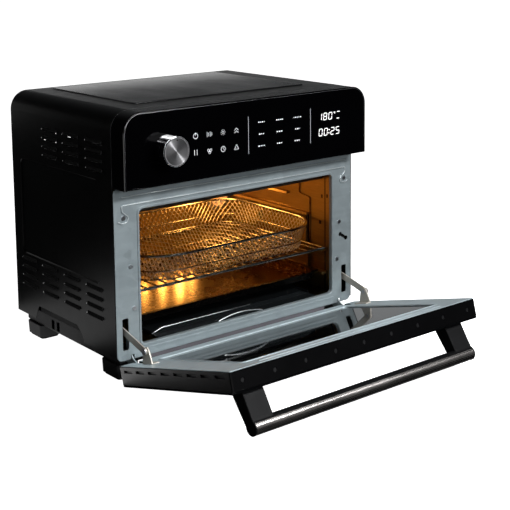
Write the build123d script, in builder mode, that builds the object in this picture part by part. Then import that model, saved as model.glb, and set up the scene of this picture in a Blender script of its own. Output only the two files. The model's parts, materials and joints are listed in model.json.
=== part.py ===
from build123d import *
import os
from math import sin, cos, radians

os.makedirs("parts", exist_ok=True)

# ---------------------------------------------------------------- driving dimensions (mm)
W = 400.0          # width over the side panels
Z_SHELL = 36.0     # lower edge of the side panels above the worktop
Z_TOP = 347.0      # top of the outer shell
R_TOP = 25.0       # radius of the upper long edges
T_SHELL = 1.0      # sheet of the outer shell
F = -7.5           # plane of the front frame
DEPTH = 260.0      # front frame to rear of the shell
Z_PANEL = 252.5    # lower edge of the control block
T_PANEL = 29.0     # how far the control block stands forward of the frame

XO = 162.0         # half width of the oven opening
ZO1, ZO2 = 47.5, 220.7   # lower and upper edge of the oven opening
T_FRAME = 1.2      # front frame sheet

XC = 167.2         # inner face of the cavity side walls
T_CAV = 0.8        # cavity sheet
Z_FLOOR = 46.4     # upper face of the cavity floor
Z_ROOF = 228.0     # lower face of the cavity roof
Y_BACK = F + 236.0 # front face of the cavity back wall

OPEN = 75.2        # door angle in the modelled pose, from shut
DOOR_GAP = 2.0     # door inner face to front frame when shut
DOOR_L = 231.5     # door, lower edge to upper edge
DOOR_T = 26.0      # door thickness
PIV_Y, PIV_Z = F - 12.3, 19.7     # door pivot axis
PIV_S, PIV_H = 3.2, -10.3         # the same axis seen in the door
PIN_S, PIN_H = 42.5, 16.2         # stay-arm pin seen in the door

KX, KZ = -138.0, 297.0            # knob axis on the control glass
XH = 176.1                        # hinge bracket, middle of its sheet

# guide ribs: upper face, front end, inset from the plain wall, inner edge from the middle
RIBS = [(75.8, 15.0, 0.05, 156.8), (109.7, 15.0, 0.05, 156.8), (157.0, 50.0, 3.05, 158.2), (181.0, 94.0, 3.05, 158.2)]
FAN_Y = F + 122.0                 # fan axis

# door frame of reference: local x = -X, local y runs up the door, local z leaves its inner face
A = radians(90.0 - OPEN)
SA, CA = sin(A), cos(A)
DY0 = PIV_Y + (-PIV_H) * cos(radians(OPEN)) + PIV_S * sin(radians(OPEN))
DZ0 = PIV_Z + (-PIV_H) * sin(radians(OPEN)) - PIV_S * cos(radians(OPEN))
door_plane = Plane(origin=(0, DY0, DZ0), x_dir=(-1, 0, 0), z_dir=(0, SA, CA))


def door_point(x, s, h):
    """A point of the door as X, Y, Z: s up the door, h out of its inner face."""
    return (x, DY0 - s * CA + h * SA, DZ0 + s * SA + h * CA)


def yplane(y):
    """Upright plane facing the front: local x = X, local y = Z, extrusion runs forward."""
    return Plane(origin=(0, y, 0), x_dir=(1, 0, 0), z_dir=(0, -1, 0))


def xplane(x):
    """Upright plane facing right: local x = Y, local y = Z, extrusion runs to +X."""
    return Plane(origin=(x, 0, 0), x_dir=(0, 1, 0), z_dir=(1, 0, 0))


def ear_plane(x):
    """Plane across the door: local x = up the door, local y = out of its inner face."""
    return Plane(origin=(x, DY0, DZ0), x_dir=(0, -CA, SA), z_dir=(-1, 0, 0))


def arch(w, z0, z1, r, mode=Mode.ADD):
    """A rectangle from z0 to z1 with both upper corners rounded."""
    with BuildLine() as outline:
        FilletPolyline((-w / 2, z0), (-w / 2, z1), (w / 2, z1), (w / 2, z0), radius=r)
        Line((w / 2, z0), (-w / 2, z0))
    make_face(outline.edges(), mode=mode)


LOW = (Align.CENTER, Align.CENTER, Align.MIN)

# ---------------------------------------------------------------- casing
LOUVER = 37.0
UP_COLS = [39.5, 96.5, 151.5]
UP_ROWS = [268.5, 280.2, 291.9, 303.6]
LO_COLS = [47.0, 103.5, 161.0, 218.0]
LO_ROWS = [78.5, 90.8, 103.1, 115.4]
louvers = [(c, UP_ROWS) for c in UP_COLS] + [(c, LO_ROWS) for c in LO_COLS]

with BuildPart() as outer_shell:
    with BuildSketch(yplane(F)):
        arch(W, Z_SHELL, Z_TOP, R_TOP)
        arch(W - 2 * T_SHELL, Z_SHELL - 5, Z_TOP - T_SHELL, R_TOP - T_SHELL, mode=Mode.SUBTRACT)
    extrude(amount=-DEPTH)
    # field pressed inwards on each side
    for sx in (-1, 1):
        with BuildSketch(Plane(origin=(sx * (W / 2 - T_SHELL), F, 0), x_dir=(0, sx, 0), z_dir=(sx, 0, 0))):
            with Locations((sx * 135.0, 191.0)):
                RectangleRounded(210, 136, 11)
        extrude(amount=-1.4)
        with BuildSketch(Plane(origin=(sx * W / 2, F, 0), x_dir=(0, sx, 0), z_dir=(sx, 0, 0))):
            with Locations((sx * 135.0, 191.0)):
                RectangleRounded(208, 134, 10)
        extrude(amount=-1.4, taper=45, mode=Mode.SUBTRACT)
    # louvres: a hood over each slot
    for yc, rows in louvers:
        with BuildSketch(yplane(F + yc)):
            for z in rows:
                for sx in (-1, 1):
                    with BuildLine():
                        Polyline(
                            (sx * (W / 2 - 0.4), z + 4.6),
                            (sx * (W / 2 + 0.6), z + 4.2),
                            (sx * (W / 2 + 2.0), z + 1.6),
                            (sx * (W / 2 + 2.0), z + 0.6),
                            (sx * (W / 2 - 0.4), z + 0.6),
                            close=True,
                        )
                    make_face()
        extrude(amount=LOUVER / 2, both=True)
    with Locations(*[(sx * (W / 2 + 0.1), F + yc, z + 0.6) for yc, rows in louvers for z in rows for sx in (-1, 1)]):
        Box(2.8, LOUVER - 2.4, 3.4, mode=Mode.SUBTRACT)
    # carry notch in the lower edge of each side
    with BuildSketch(Plane.YZ):
        with BuildLine():
            FilletPolyline(
                (F + 72, Z_SHELL - 12), (F + 82, 46), (F + 95, 56), (F + 198, 56), (F + 215, Z_SHELL - 12), radius=5
            )
            Line((F + 215, Z_SHELL - 12), (F + 72, Z_SHELL - 12))
        make_face()
    extrude(amount=W / 2 + 10, both=True, mode=Mode.SUBTRACT)
outer_shell.part.label = "outer_shell"
export_step(outer_shell.part, "parts/outer_shell.step")

with BuildPart() as top_panel:
    with BuildSketch(Plane.XY.offset(Z_TOP)):
        with Locations((0, F + 142)):
            RectangleRounded(284, 212, 4)
    extrude(amount=1.0)
    chamfer(top_panel.edges().group_by(Axis.Z)[-1], 0.5)
top_panel.part.label = "top_panel"
export_step(top_panel.part, "parts/top_panel.step")

with BuildPart() as rear_cover:
    with BuildSketch(yplane(F + DEPTH)):
        arch(W - 2 * T_SHELL - 0.6, Z_SHELL + 1, Z_TOP - T_SHELL - 0.3, R_TOP - T_SHELL - 0.3)
    extrude(amount=1.2)
    # vent slots: two fields up high and one field low down
    vents = [(x, z) for x in range(-150, 151, 20) for z in (272, 300) if abs(x) > 20]
    vents += [(x, z) for x in range(-110, 111, 20) for z in (78, 106)]
    with BuildSketch(yplane(F + DEPTH)):
        with Locations(*vents):
            SlotOverall(20, 5, rotation=90)
    extrude(amount=2, both=True, mode=Mode.SUBTRACT)
    # lead-in hole of the mains gland
    with Locations((150, F + DEPTH - 0.6, 62)):
        Cylinder(8.0, 6, rotation=(90, 0, 0), mode=Mode.SUBTRACT)
    # pressed field
    with BuildSketch(yplane(F + DEPTH)):
        with Locations((0, 190)):
            RectangleRounded(300, 96, 10)
    extrude(amount=-1.6, taper=45)
rear_cover.part.label = "rear_cover"
export_step(rear_cover.part, "parts/rear_cover.step")

with BuildPart() as rear_spacers:
    for x in (-120, 120):
        with BuildSketch(yplane(F + DEPTH)):
            with Locations((x, 246)):
                RectangleRounded(46, 9, 4)
        extrude(amount=-6.0, taper=6)
rear_spacers.part.label = "rear_spacers"
export_step(rear_spacers.part, "parts/rear_spacers.step")

SCREW_XZ = [(-188, 60), (188, 60), (-188, 170), (188, 170), (-188, 290), (188, 290), (-80, 334), (80, 334)]
with BuildPart() as rear_screws:
    for x, z in SCREW_XZ:
        with Locations((x, F + DEPTH + 0.9, z)):
            Cylinder(3.6, 1.8, rotation=(90, 0, 0))
            Box(5.0, 4, 1.0, mode=Mode.SUBTRACT)
            Box(1.0, 4, 5.0, mode=Mode.SUBTRACT)
        with Locations((x, F + DEPTH + 0.9 - 0.45, z)):
            Cylinder(3.6, 0.9, rotation=(90, 0, 0))
rear_screws.part.label = "rear_screws"
export_step(rear_screws.part, "parts/rear_screws.step")

with BuildPart() as cord_gland:
    with Locations((150, F + DEPTH - 4.0, 62)):
        Cylinder(7.9, 14, rotation=(90, 0, 0))
    with Locations((150, F + DEPTH + 1.6, 62)):
        Cylinder(11.0, 3.2, rotation=(90, 0, 0))
    fillet(cord_gland.edges().group_by(Axis.Y)[-1], 1.0)
    with Locations((150, F + DEPTH, 62)):
        Cylinder(4.2, 40, rotation=(90, 0, 0), mode=Mode.SUBTRACT)
cord_gland.part.label = "cord_gland"
export_step(cord_gland.part, "parts/cord_gland.step")

XB = 187.0         # base pan half width
with BuildPart() as base_pan:
    with Locations((0, F + 135, 20)):
        Box(2 * XB, 242, 20.5, align=LOW)
    fillet(base_pan.edges().group_by(Axis.Z)[0], 3)
    with Locations((0, F + 135, 21.2)):
        Box(2 * XB - 2.4, 239.6, 30, align=LOW, mode=Mode.SUBTRACT)
    # apron under the front frame: a shelf and a turned-up edge
    with Locations((0, F + 10.6, 20)):
        Box(300, 16.0, 1.2, align=LOW)
    with Locations((0, F + 3.2, 20)):
        Box(300, 1.2, 10.2, align=LOW)
    # openings beside the carry grips and air slots in the floor
    with Locations(*[(sx * XB, F + y, 30) for sx in (-1, 1) for y in (170, 184)]):
        Box(6, 8, 13, mode=Mode.SUBTRACT)
    with BuildSketch(Plane.XY.offset(20)):
        with Locations((0, F + 135)):
            with GridLocations(28, 44, 9, 3):
                SlotOverall(30, 5, rotation=90)
    extrude(amount=4, both=True, mode=Mode.SUBTRACT)
base_pan.part.label = "base_pan"
export_step(base_pan.part, "parts/base_pan.step")

FOOT_XY = [(sx * 173.5, F + y) for sx in (-1, 1) for y in (35.0, 234.0)]
with BuildPart() as feet:
    with BuildSketch(Plane.XY.offset(19.9)):
        with Locations(*FOOT_XY):
            RectangleRounded(33, 42, 6)
    extrude(amount=-16.9, taper=3)
feet.part.label = "feet"
export_step(feet.part, "parts/feet.step")

with BuildPart() as foot_pads:
    with BuildSketch(Plane.XY):
        with Locations(*FOOT_XY):
            RectangleRounded(27, 36, 5)
    extrude(amount=3.0)
    chamfer(foot_pads.edges().group_by(Axis.Z)[0], 0.6)
foot_pads.part.label = "foot_pads"
export_step(foot_pads.part, "parts/foot_pads.step")

with BuildPart() as carry_grips:
    for sx in (-1, 1):
        with Locations((sx * 185.5, F + 143, 40.8)):
            Box(3.0, 148, 21.4, align=LOW)
        with Locations((sx * 192.3, F + 143, 58.6)):
            Box(12.4, 148, 3.6, align=LOW)
    fillet(carry_grips.edges().filter_by(Axis.Y).sort_by(Axis.Z)[-2:], 0.8)
carry_grips.part.label = "carry_grips"
export_step(carry_grips.part, "parts/carry_grips.step")

# ---------------------------------------------------------------- front frame and cavity
with BuildPart() as front_frame:
    with BuildSketch(yplane(F + T_FRAME)):
        with Locations((0, (31.0 + 251.6) / 2)):
            RectangleRounded(W - 2.8, 251.6 - 31.0, 8)
        # notches for the hinge brackets
        with Locations((-XH, 31.8), (XH, 31.8)):
            Rectangle(5.0, 10.0, mode=Mode.SUBTRACT)
        with Locations((0, (ZO1 + ZO2) / 2)):
            RectangleRounded(2 * XO, ZO2 - ZO1, 6, mode=Mode.SUBTRACT)
        # stay-arm slots and the latch-switch slot
        with Locations((-185.5, 64.5), (185.5, 64.5)):
            RectangleRounded(9, 41, 2, mode=Mode.SUBTRACT)
        with Locations((184.5, 127.5)):
            SlotOverall(15, 4.2, rotation=-35, mode=Mode.SUBTRACT)
        with Locations((179.0, 131.0), (190.0, 124.0)):
            Circle(3.2, mode=Mode.SUBTRACT)
    extrude(amount=T_FRAME)
    # rolled rim round the opening
    with BuildSketch(yplane(F)):
        with Locations((0, (ZO1 + ZO2) / 2)):
            RectangleRounded(2 * XO + 7, ZO2 - ZO1 + 7, 9)
            RectangleRounded(2 * XO, ZO2 - ZO1, 6, mode=Mode.SUBTRACT)
    extrude(amount=1.2, taper=25)
    # return flange into the cavity
    with BuildSketch(yplane(F + 5.0)):
        with Locations((0, (ZO1 + ZO2) / 2)):
            RectangleRounded(2 * XO + 2, ZO2 - ZO1 + 2, 7)
            RectangleRounded(2 * XO, ZO2 - ZO1, 6, mode=Mode.SUBTRACT)
    extrude(amount=4.0)
    # pressed beads: one hooked at both ends over the opening, a fine one above it, one under the opening
    with BuildSketch(yplane(F)):
        with BuildLine():
            FilletPolyline(
                (-193, 209.2), (-187.5, 205.8), (-179.2, 207.4), (-177.6, 213.6), (-186.6, 220.6), (-187.4, 228.4), (187.4, 228.4),
                (186.6, 220.6), (177.6, 213.6), (179.2, 207.4), (187.5, 205.8), (193, 209.2), radius=2.4,
            )
        trace(line_width=2.2)
        with Locations((0, 239.0)):
            RectangleRounded(376, 1.8, 0.8)
        with Locations((0, 40.4)):
            RectangleRounded(330, 2.6, 1.2)
    extrude(amount=0.9)
front_frame.part.label = "front_frame"
export_step(front_frame.part, "parts/front_frame.step")

with BuildPart() as frame_screws:
    for x, z in [(-185, 213), (185, 213), (-176, 150), (176, 150), (-172, 96), (172, 96)]:
        with Locations((x, F - 0.55, z)):
            Cylinder(2.8, 1.1, rotation=(90, 0, 0))
frame_screws.part.label = "frame_screws"
export_step(frame_screws.part, "parts/frame_screws.step")

HEAT_UP = [(F + 30, 212.0), (F + 214, 212.0)]
HEAT_LO = [(F + 62, 58.0), (F + 172, 58.0)]
LAMP = (139.0, 153.0)   # lamp in the back wall: x, z
SPIT = (F + 160, 134.5)

with BuildPart() as cavity_left_wall:
    with Locations((-XC - T_CAV / 2, (F + 1.4 + Y_BACK) / 2, 40.9)):
        Box(T_CAV, Y_BACK - F - 1.4, Z_ROOF - 40.9, align=LOW)
    # pressed field with a stepped front edge
    with BuildSketch(xplane(-XC)):
        with BuildLine():
            FilletPolyline(
                (F + 50, 116), (F + 50, 179), (F + 73, 182), (F + 73, 221), (F + 228, 221), (F + 228, 116), (F + 50, 116), radius=3,
                close=False,
            )
        make_face()
    extrude(amount=3.0)
    with Locations(*[(-XC, y, z) for y, z in HEAT_UP + HEAT_LO]):
        Cylinder(3.9, 12, rotation=(0, 90, 0), mode=Mode.SUBTRACT)
    # spring lug
    with Locations((-XC - T_CAV - 11, F + 151, 68)):
        Box(22, 3.0, 10, align=LOW)
cavity_left_wall.part.label = "cavity_left_wall"
export_step(cavity_left_wall.part, "parts/cavity_left_wall.step")

with BuildPart() as cavity_right_wall:
    with Locations((XC + T_CAV / 2, (F + 1.4 + Y_BACK) / 2, 40.9)):
        Box(T_CAV, Y_BACK - F - 1.4, Z_ROOF - 40.9, align=LOW)
    with BuildSketch(xplane(XC)):
        with BuildLine():
            FilletPolyline(
                (F + 50, 116), (F + 50, 179), (F + 73, 182), (F + 73, 221), (F + 228, 221), (F + 228, 116), (F + 50, 116), radius=3,
                close=False,
            )
        make_face()
    extrude(amount=-3.0)
    with Locations(*[(XC, y, z) for y, z in HEAT_UP + HEAT_LO]):
        Cylinder(3.9, 12, rotation=(0, 90, 0), mode=Mode.SUBTRACT)
    with Locations((XC, *SPIT)):
        Cylinder(6.6, 12, rotation=(0, 90, 0), mode=Mode.SUBTRACT)
    with Locations((XC + T_CAV + 11, F + 151, 68)):
        Box(22, 3.0, 10, align=LOW)
cavity_right_wall.part.label = "cavity_right_wall"
export_step(cavity_right_wall.part, "parts/cavity_right_wall.step")

with BuildPart() as guide_ribs:
    for sx in (-1, 1):
        for z, y0, gap, inner in RIBS:
            with Locations((sx * (XC - gap + inner) / 2, F + (y0 + 227.0) / 2, z - 3.4)):
                Box(XC - gap - inner, 227.0 - y0, 3.4, align=LOW)
    fillet(guide_ribs.edges().filter_by(Axis.Z), 1.5)
    # upright stile between the lower and the upper ribs
    for sx in (-1, 1):
        with Locations((sx * (XC - 2.6), F + 53.5, 75.85)):
            Box(5.1, 5.0, 30.4, align=LOW)
        with Locations((sx * (XC - 4.1), F + 53.5, 109.75)):
            Box(2.1, 5.0, 43.8, align=LOW)
guide_ribs.part.label = "guide_ribs"
export_step(guide_ribs.part, "parts/guide_ribs.step")

with BuildPart() as cavity_back_wall:
    with Locations((0, Y_BACK + T_CAV / 2 + 0.1, 40.9)):
        Box(2 * XC + 2 * T_CAV, T_CAV, Z_ROOF - 40.9, align=LOW)
    with BuildSketch(yplane(Y_BACK + 0.1)):
        with Locations((-22, 134)):
            RectangleRounded(246, 150, 14)
    extrude(amount=1.0, taper=30)
    with Locations((LAMP[0], Y_BACK, LAMP[1])):
        Cylinder(17.3, 12, rotation=(90, 0, 0), mode=Mode.SUBTRACT)
    with Locations((118, Y_BACK, 200)):
        Cylinder(2.4, 12, rotation=(90, 0, 0), mode=Mode.SUBTRACT)
cavity_back_wall.part.label = "cavity_back_wall"
export_step(cavity_back_wall.part, "parts/cavity_back_wall.step")

with BuildPart() as cavity_roof:
    with Locations((0, (F + 1.4 + Y_BACK) / 2, Z_ROOF + 0.1)):
        Box(2 * XC + 2 * T_CAV, Y_BACK - F - 1.4, T_CAV, align=LOW)
    with Locations((0, FAN_Y, Z_ROOF)):
        Cylinder(9, 8, mode=Mode.SUBTRACT)
cavity_roof.part.label = "cavity_roof"
export_step(cavity_roof.part, "parts/cavity_roof.step")

with BuildPart() as cavity_floor:
    with Locations((0, (F + 5.2 + Y_BACK) / 2, Z_FLOOR - T_CAV)):
        Box(2 * XC - 0.4, Y_BACK - F - 5.2, T_CAV, align=LOW)
    # runners for the crumb tray
    with Locations((-100, F + 120, Z_FLOOR), (100, F + 120, Z_FLOOR)):
        Box(5, 210, 1.0, align=LOW)
cavity_floor.part.label = "cavity_floor"
export_step(cavity_floor.part, "parts/cavity_floor.step")

with BuildPart() as roof_insulation:
    with Locations((0, F + 124, Z_ROOF + T_CAV + 0.3)):
        Box(300, 210, 7, align=LOW)
    with Locations((0, FAN_Y, Z_ROOF)):
        Cylinder(66, 40, mode=Mode.SUBTRACT)
        Box(154, 40, 40, mode=Mode.SUBTRACT)
roof_insulation.part.label = "roof_insulation"
export_step(roof_insulation.part, "parts/roof_insulation.step")

# ---------------------------------------------------------------- heaters, lamp, fan
with BuildPart() as heater_tubes:
    with Locations(*[(0, y, z) for y, z in HEAT_UP + HEAT_LO]):
        Cylinder(3.5, 362, rotation=(0, 90, 0))
heater_tubes.part.label = "heater_tubes"
export_step(heater_tubes.part, "parts/heater_tubes.step")

with BuildPart() as heater_insulators:
    for sx in (-1, 1):
        with Locations(*[(sx * (XC + T_CAV + 3.6), y, z) for y, z in HEAT_UP + HEAT_LO]):
            Cylinder(6.5, 7.0, rotation=(0, 90, 0))
            Cylinder(3.58, 12, rotation=(0, 90, 0), mode=Mode.SUBTRACT)
heater_insulators.part.label = "heater_insulators"
export_step(heater_insulators.part, "parts/heater_insulators.step")

with BuildPart() as lamp_housing:
    # bezel inside the cavity, can behind the wall
    with Locations((LAMP[0], Y_BACK - 0.75, LAMP[1])):
        Cylinder(23.0, 1.4, rotation=(90, 0, 0))
    fillet(lamp_housing.edges().group_by(Axis.Y)[0], 0.6)
    with Locations((LAMP[0], Y_BACK + 7.45, LAMP[1])):
        Cylinder(17.0, 15.0, rotation=(90, 0, 0))
    with Locations((LAMP[0], Y_BACK + 5.0, LAMP[1])):
        Cylinder(15.6, 17.0, rotation=(90, 0, 0), mode=Mode.SUBTRACT)
lamp_housing.part.label = "lamp_housing"
export_step(lamp_housing.part, "parts/lamp_housing.step")

with BuildPart() as lamp_lens:
    with Locations((LAMP[0], Y_BACK - 1.0, LAMP[1])):
        Cylinder(15.5, 6.0, rotation=(90, 0, 0))
    fillet(lamp_lens.edges().group_by(Axis.Y)[0], 2.6)
    with Locations((LAMP[0], Y_BACK + 1.0, LAMP[1])):
        Cylinder(13.0, 6.0, rotation=(90, 0, 0), mode=Mode.SUBTRACT)
lamp_lens.part.label = "lamp_lens"
export_step(lamp_lens.part, "parts/lamp_lens.step")

with BuildPart() as fan_guard:
    with Locations((0, FAN_Y, 203)):
        Cylinder(74, Z_ROOF - 203 - 0.1, align=LOW)
    fillet(fan_guard.edges().group_by(Axis.Z)[0], 1.5)
    with Locations((0, FAN_Y, 204)):
        Cylinder(73, 40, align=LOW, mode=Mode.SUBTRACT)
    with Locations((0, FAN_Y, 203)):
        with PolarLocations(20, 10):
            Cylinder(4, 6, mode=Mode.SUBTRACT)
        with PolarLocations(37, 18):
            Cylinder(4.5, 6, mode=Mode.SUBTRACT)
        with PolarLocations(55, 26):
            Cylinder(4.5, 6, mode=Mode.SUBTRACT)
fan_guard.part.label = "fan_guard"
export_step(fan_guard.part, "parts/fan_guard.step")

with BuildPart() as motor_bracket:
    with Locations((0, FAN_Y, 248)):
        Box(150, 34, 1.6, align=LOW)
    for sx in (-1, 1):
        with Locations((sx * 74.2, FAN_Y, Z_ROOF + T_CAV + 0.3)):
            Box(1.6, 34, 248 - Z_ROOF - T_CAV - 0.3, align=LOW)
        with Locations((sx * 68.0, FAN_Y, Z_ROOF + T_CAV + 0.3)):
            Box(12, 34, 1.2, align=LOW)
    with Locations((0, FAN_Y, 248)):
        Cylinder(9, 10, mode=Mode.SUBTRACT)
motor_bracket.part.label = "motor_bracket"
export_step(motor_bracket.part, "parts/motor_bracket.step")

with BuildPart() as fan_motor:
    with Locations((0, FAN_Y, 249.7)):
        Box(62, 62, 24, align=LOW)
        Cylinder(24, 44, align=LOW)
    fillet(fan_motor.edges().filter_by(Axis.Z), 4)
    with Locations((0, FAN_Y, 260)):
        Cylinder(3.05, 60, mode=Mode.SUBTRACT)
        with Locations((0, 0, 20)):
            Cylinder(8, 20, align=LOW, mode=Mode.SUBTRACT)
fan_motor.part.label = "fan_motor"
export_step(fan_motor.part, "parts/fan_motor.step")

with BuildPart() as fan_shaft:
    with Locations((0, FAN_Y, 209)):
        Cylinder(3.0, 76, align=LOW)
fan_shaft.part.label = "fan_shaft"
export_step(fan_shaft.part, "parts/fan_shaft.step")

with BuildPart() as hot_fan:
    with Locations((0, FAN_Y, 211)):
        Cylinder(9, 12, align=LOW)
    with Locations((0, FAN_Y, 221.8)):
        Cylinder(56, 1.2, align=LOW)
    with Locations((0, FAN_Y, 210.4)):
        with PolarLocations(33, 12):
            Box(42, 1.2, 12, align=LOW)
    with Locations((0, FAN_Y, 216)):
        Cylinder(3.0, 40, mode=Mode.SUBTRACT)
hot_fan.part.label = "hot_fan"
export_step(hot_fan.part, "parts/hot_fan.step")

with BuildPart() as cooling_fan:
    with Locations((0, FAN_Y, 233)):
        Cylinder(8, 11, align=LOW)
        Cylinder(44, 1.2, align=LOW)
        with PolarLocations(26, 10):
            Box(32, 1.2, 10, align=LOW)
    with Locations((0, FAN_Y, 238)):
        Cylinder(3.0, 40, mode=Mode.SUBTRACT)
cooling_fan.part.label = "cooling_fan"
export_step(cooling_fan.part, "parts/cooling_fan.step")

with BuildPart() as temperature_probe:
    with Locations((118, Y_BACK - 14, 200)):
        Cylinder(2.2, 46, rotation=(90, 0, 0))
    with Locations((118, Y_BACK + 6.5, 200)):
        Cylinder(4.5, 10, rotation=(90, 0, 0))
temperature_probe.part.label = "temperature_probe"
export_step(temperature_probe.part, "parts/temperature_probe.step")

with BuildPart() as rotisserie_motor:
    with Locations((XC + T_CAV + 11.5, SPIT[0], SPIT[1])):
        Box(18, 50, 46)
    fillet(rotisserie_motor.edges().filter_by(Axis.X), 6)
    with Locations((XC + T_CAV + 2.5, SPIT[0], SPIT[1])):
        Cylinder(6.05, 12, rotation=(0, 90, 0), mode=Mode.SUBTRACT)
rotisserie_motor.part.label = "rotisserie_motor"
export_step(rotisserie_motor.part, "parts/rotisserie_motor.step")

with BuildPart() as spit_socket:
    with Locations((XC + T_CAV - 0.5, SPIT[0], SPIT[1])):
        Cylinder(6.0, 15, rotation=(0, 90, 0))
    fillet(spit_socket.edges().group_by(Axis.X)[0], 1.0)
    with Locations((XC - 5, SPIT[0], SPIT[1])):
        Box(14, 6.4, 6.4, mode=Mode.SUBTRACT)
spit_socket.part.label = "spit_socket"
export_step(spit_socket.part, "parts/spit_socket.step")

with BuildPart() as door_switch:
    with Locations((184.0, F + 12, 128)):
        Box(12, 20, 22)
    with Locations((184.0, F + 1.9, 127.5)):
        Box(5, 1.0, 8)
door_switch.part.label = "door_switch"
export_step(door_switch.part, "parts/door_switch.step")

# ---------------------------------------------------------------- control block
with BuildPart() as control_housing:
    with BuildSketch(yplane(F - 0.2)):
        arch(W, Z_PANEL, Z_TOP, R_TOP)
    extrude(amount=T_PANEL - 0.2)
    chamfer(control_housing.faces().sort_by(Axis.Y)[0].edges(), 0.9)
    with BuildSketch(yplane(F - T_PANEL)):
        arch(W - 3.8, Z_PANEL + 1.9, Z_TOP - 1.9, R_TOP - 1.9)
    extrude(amount=-2.7, mode=Mode.SUBTRACT)
    with BuildSketch(yplane(F - T_PANEL + 2.7)):
        arch(W - 12, Z_PANEL + 5, Z_TOP - 5, R_TOP - 5)
    extrude(amount=-T_PANEL, mode=Mode.SUBTRACT)
control_housing.part.label = "control_housing"
export_step(control_housing.part, "parts/control_housing.step")

with BuildPart() as control_glass:
    with BuildSketch(yplane(F - T_PANEL + 2.6)):
        arch(W - 4.2, Z_PANEL + 2.1, Z_TOP - 2.1, R_TOP - 2.1)
        with Locations((KX, KZ)):
            Circle(6.0, mode=Mode.SUBTRACT)
    extrude(amount=2.5)
    chamfer(control_glass.faces().sort_by(Axis.Y)[0].edges(), 0.3)
control_glass.part.label = "control_glass"
export_step(control_glass.part, "parts/control_glass.step")

YG = F - T_PANEL + 2.7   # back of the control glass
TOUCH = [(x, z) for z in (308.5, 287.5) for x in (-93.5, -72.4, -51.3, -30.2)]
TOUCH += [(x, z) for z in (315.5, 299.7, 284.4) for x in (11.0, 41.5, 72.3)]

with BuildPart() as touch_board:
    with Locations((-8, YG + 11.5, 299)):
        Box(206, 1.6, 60)
    with Locations((-60, YG + 15, 290), (20, YG + 15, 300)):
        Box(16, 5.4, 16)
touch_board.part.label = "touch_board"
export_step(touch_board.part, "parts/touch_board.step")

with BuildPart() as touch_springs:
    with Locations(*[(x, YG + 5.35, z) for x, z in TOUCH]):
        Cylinder(3.4, 10.5, rotation=(90, 0, 0))
touch_springs.part.label = "touch_springs"
export_step(touch_springs.part, "parts/touch_springs.step")

with BuildPart() as display_module:
    with Locations((129, YG + 5.2, 300.5)):
        Box(52, 10, 44)
    with Locations((129, YG + 11.0, 300.5)):
        Box(60, 1.6, 52)
display_module.part.label = "display_module"
export_step(display_module.part, "parts/display_module.step")

with BuildPart() as encoder_body:
    with Locations((KX, YG + 10, KZ)):
        Box(14, 8, 14)
    with Locations((KX, YG + 3.2, KZ)):
        Cylinder(4.6, 6, rotation=(90, 0, 0))
    with Locations((KX, YG + 2, KZ)):
        Cylinder(3.05, 20, rotation=(90, 0, 0), mode=Mode.SUBTRACT)
encoder_body.part.label = "encoder_body"
export_step(encoder_body.part, "parts/encoder_body.step")

knob_plane = Plane(origin=(KX, F - T_PANEL, KZ), x_dir=(1, 0, 0), z_dir=(0, -1, 0))
with BuildPart(knob_plane) as knob:
    with Locations((0, 0, 0.6)):
        Cylinder(18.4, 8.6, align=LOW)
    with Locations((0, 0, 9.2)):
        Cylinder(17.8, 0.8, align=LOW)
    with Locations((0, 0, 10.0)):
        Cylinder(18.4, 9.0, align=LOW)
    with Locations((0, 0, 19.0)):
        Cylinder(19.0, 3.0, align=LOW)
    chamfer(knob.faces().sort_by(Axis.Y)[0].edges(), 1.1)
    # dished face with a marker dimple
    with Locations((0, 0, 21.7)):
        Cylinder(16.6, 1.0, align=LOW, mode=Mode.SUBTRACT)
    with Locations((1.0, 14.0, 21.2)):
        Cylinder(1.1, 2.0, align=LOW, mode=Mode.SUBTRACT)
    with Locations((0, 0, 0)):
        Cylinder(3.0, 15.0, align=LOW, mode=Mode.SUBTRACT)
knob.part.label = "knob"
export_step(knob.part, "parts/knob.step")

with BuildPart(knob_plane) as encoder_shaft:
    with Locations((0, 0, -12.0)):
        Cylinder(3.0, 27.0, align=LOW)
encoder_shaft.part.label = "encoder_shaft"
export_step(encoder_shaft.part, "parts/encoder_shaft.step")

with BuildPart() as power_board:
    with Locations((-118, F + 120, 262)):
        Box(70, 130, 1.6, align=LOW)
    with Locations((-136, F + 80, 263.6), (-136, F + 110, 263.6), (-136, F + 140, 263.6)):
        Box(20, 24, 18, align=LOW)
    with Locations((-102, F + 90, 263.6)):
        Box(30, 34, 28, align=LOW)
    with Locations((-104, F + 150, 263.6)):
        Cylinder(9, 26, align=LOW)
    with Locations(*[(-118 + dx, F + 120 + dy, Z_ROOF + T_CAV + 7.8) for dx in (-30, 30) for dy in (-58, 58)]):
        Cylinder(3, 262 - Z_ROOF - T_CAV - 7.8, align=LOW)
power_board.part.label = "power_board"
export_step(power_board.part, "parts/power_board.step")

# ---------------------------------------------------------------- door hinge parts on the casing
with BuildPart() as hinge_brackets:
    for x in (-XH, XH):
        with BuildSketch(xplane(x - 0.9)):
            with BuildLine():
                Polyline(
                    (F + 1.5, 58), (F + 14, 58), (F + 14, 24), (PIV_Y + 1.0, PIV_Z - 6.5), (PIV_Y - 3.5, PIV_Z - 6.0),
                    (PIV_Y - 6.5, PIV_Z - 2.0), (PIV_Y - 6.0, PIV_Z + 3.0), (PIV_Y - 2.0, PIV_Z + 6.4), (F - 2.0, 31.5), (F + 1.5, 35.0),
                    close=True,
                )
            make_face()
            with Locations((PIV_Y, PIV_Z)):
                Circle(2.55, mode=Mode.SUBTRACT)
        extrude(amount=1.8)
        # foot spot-welded behind the frame
        with Locations((x - 4.0 if x > 0 else x + 4.0, F + 2.2, 47)):
            Box(8.2, 1.4, 20)
hinge_brackets.part.label = "hinge_brackets"
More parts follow.
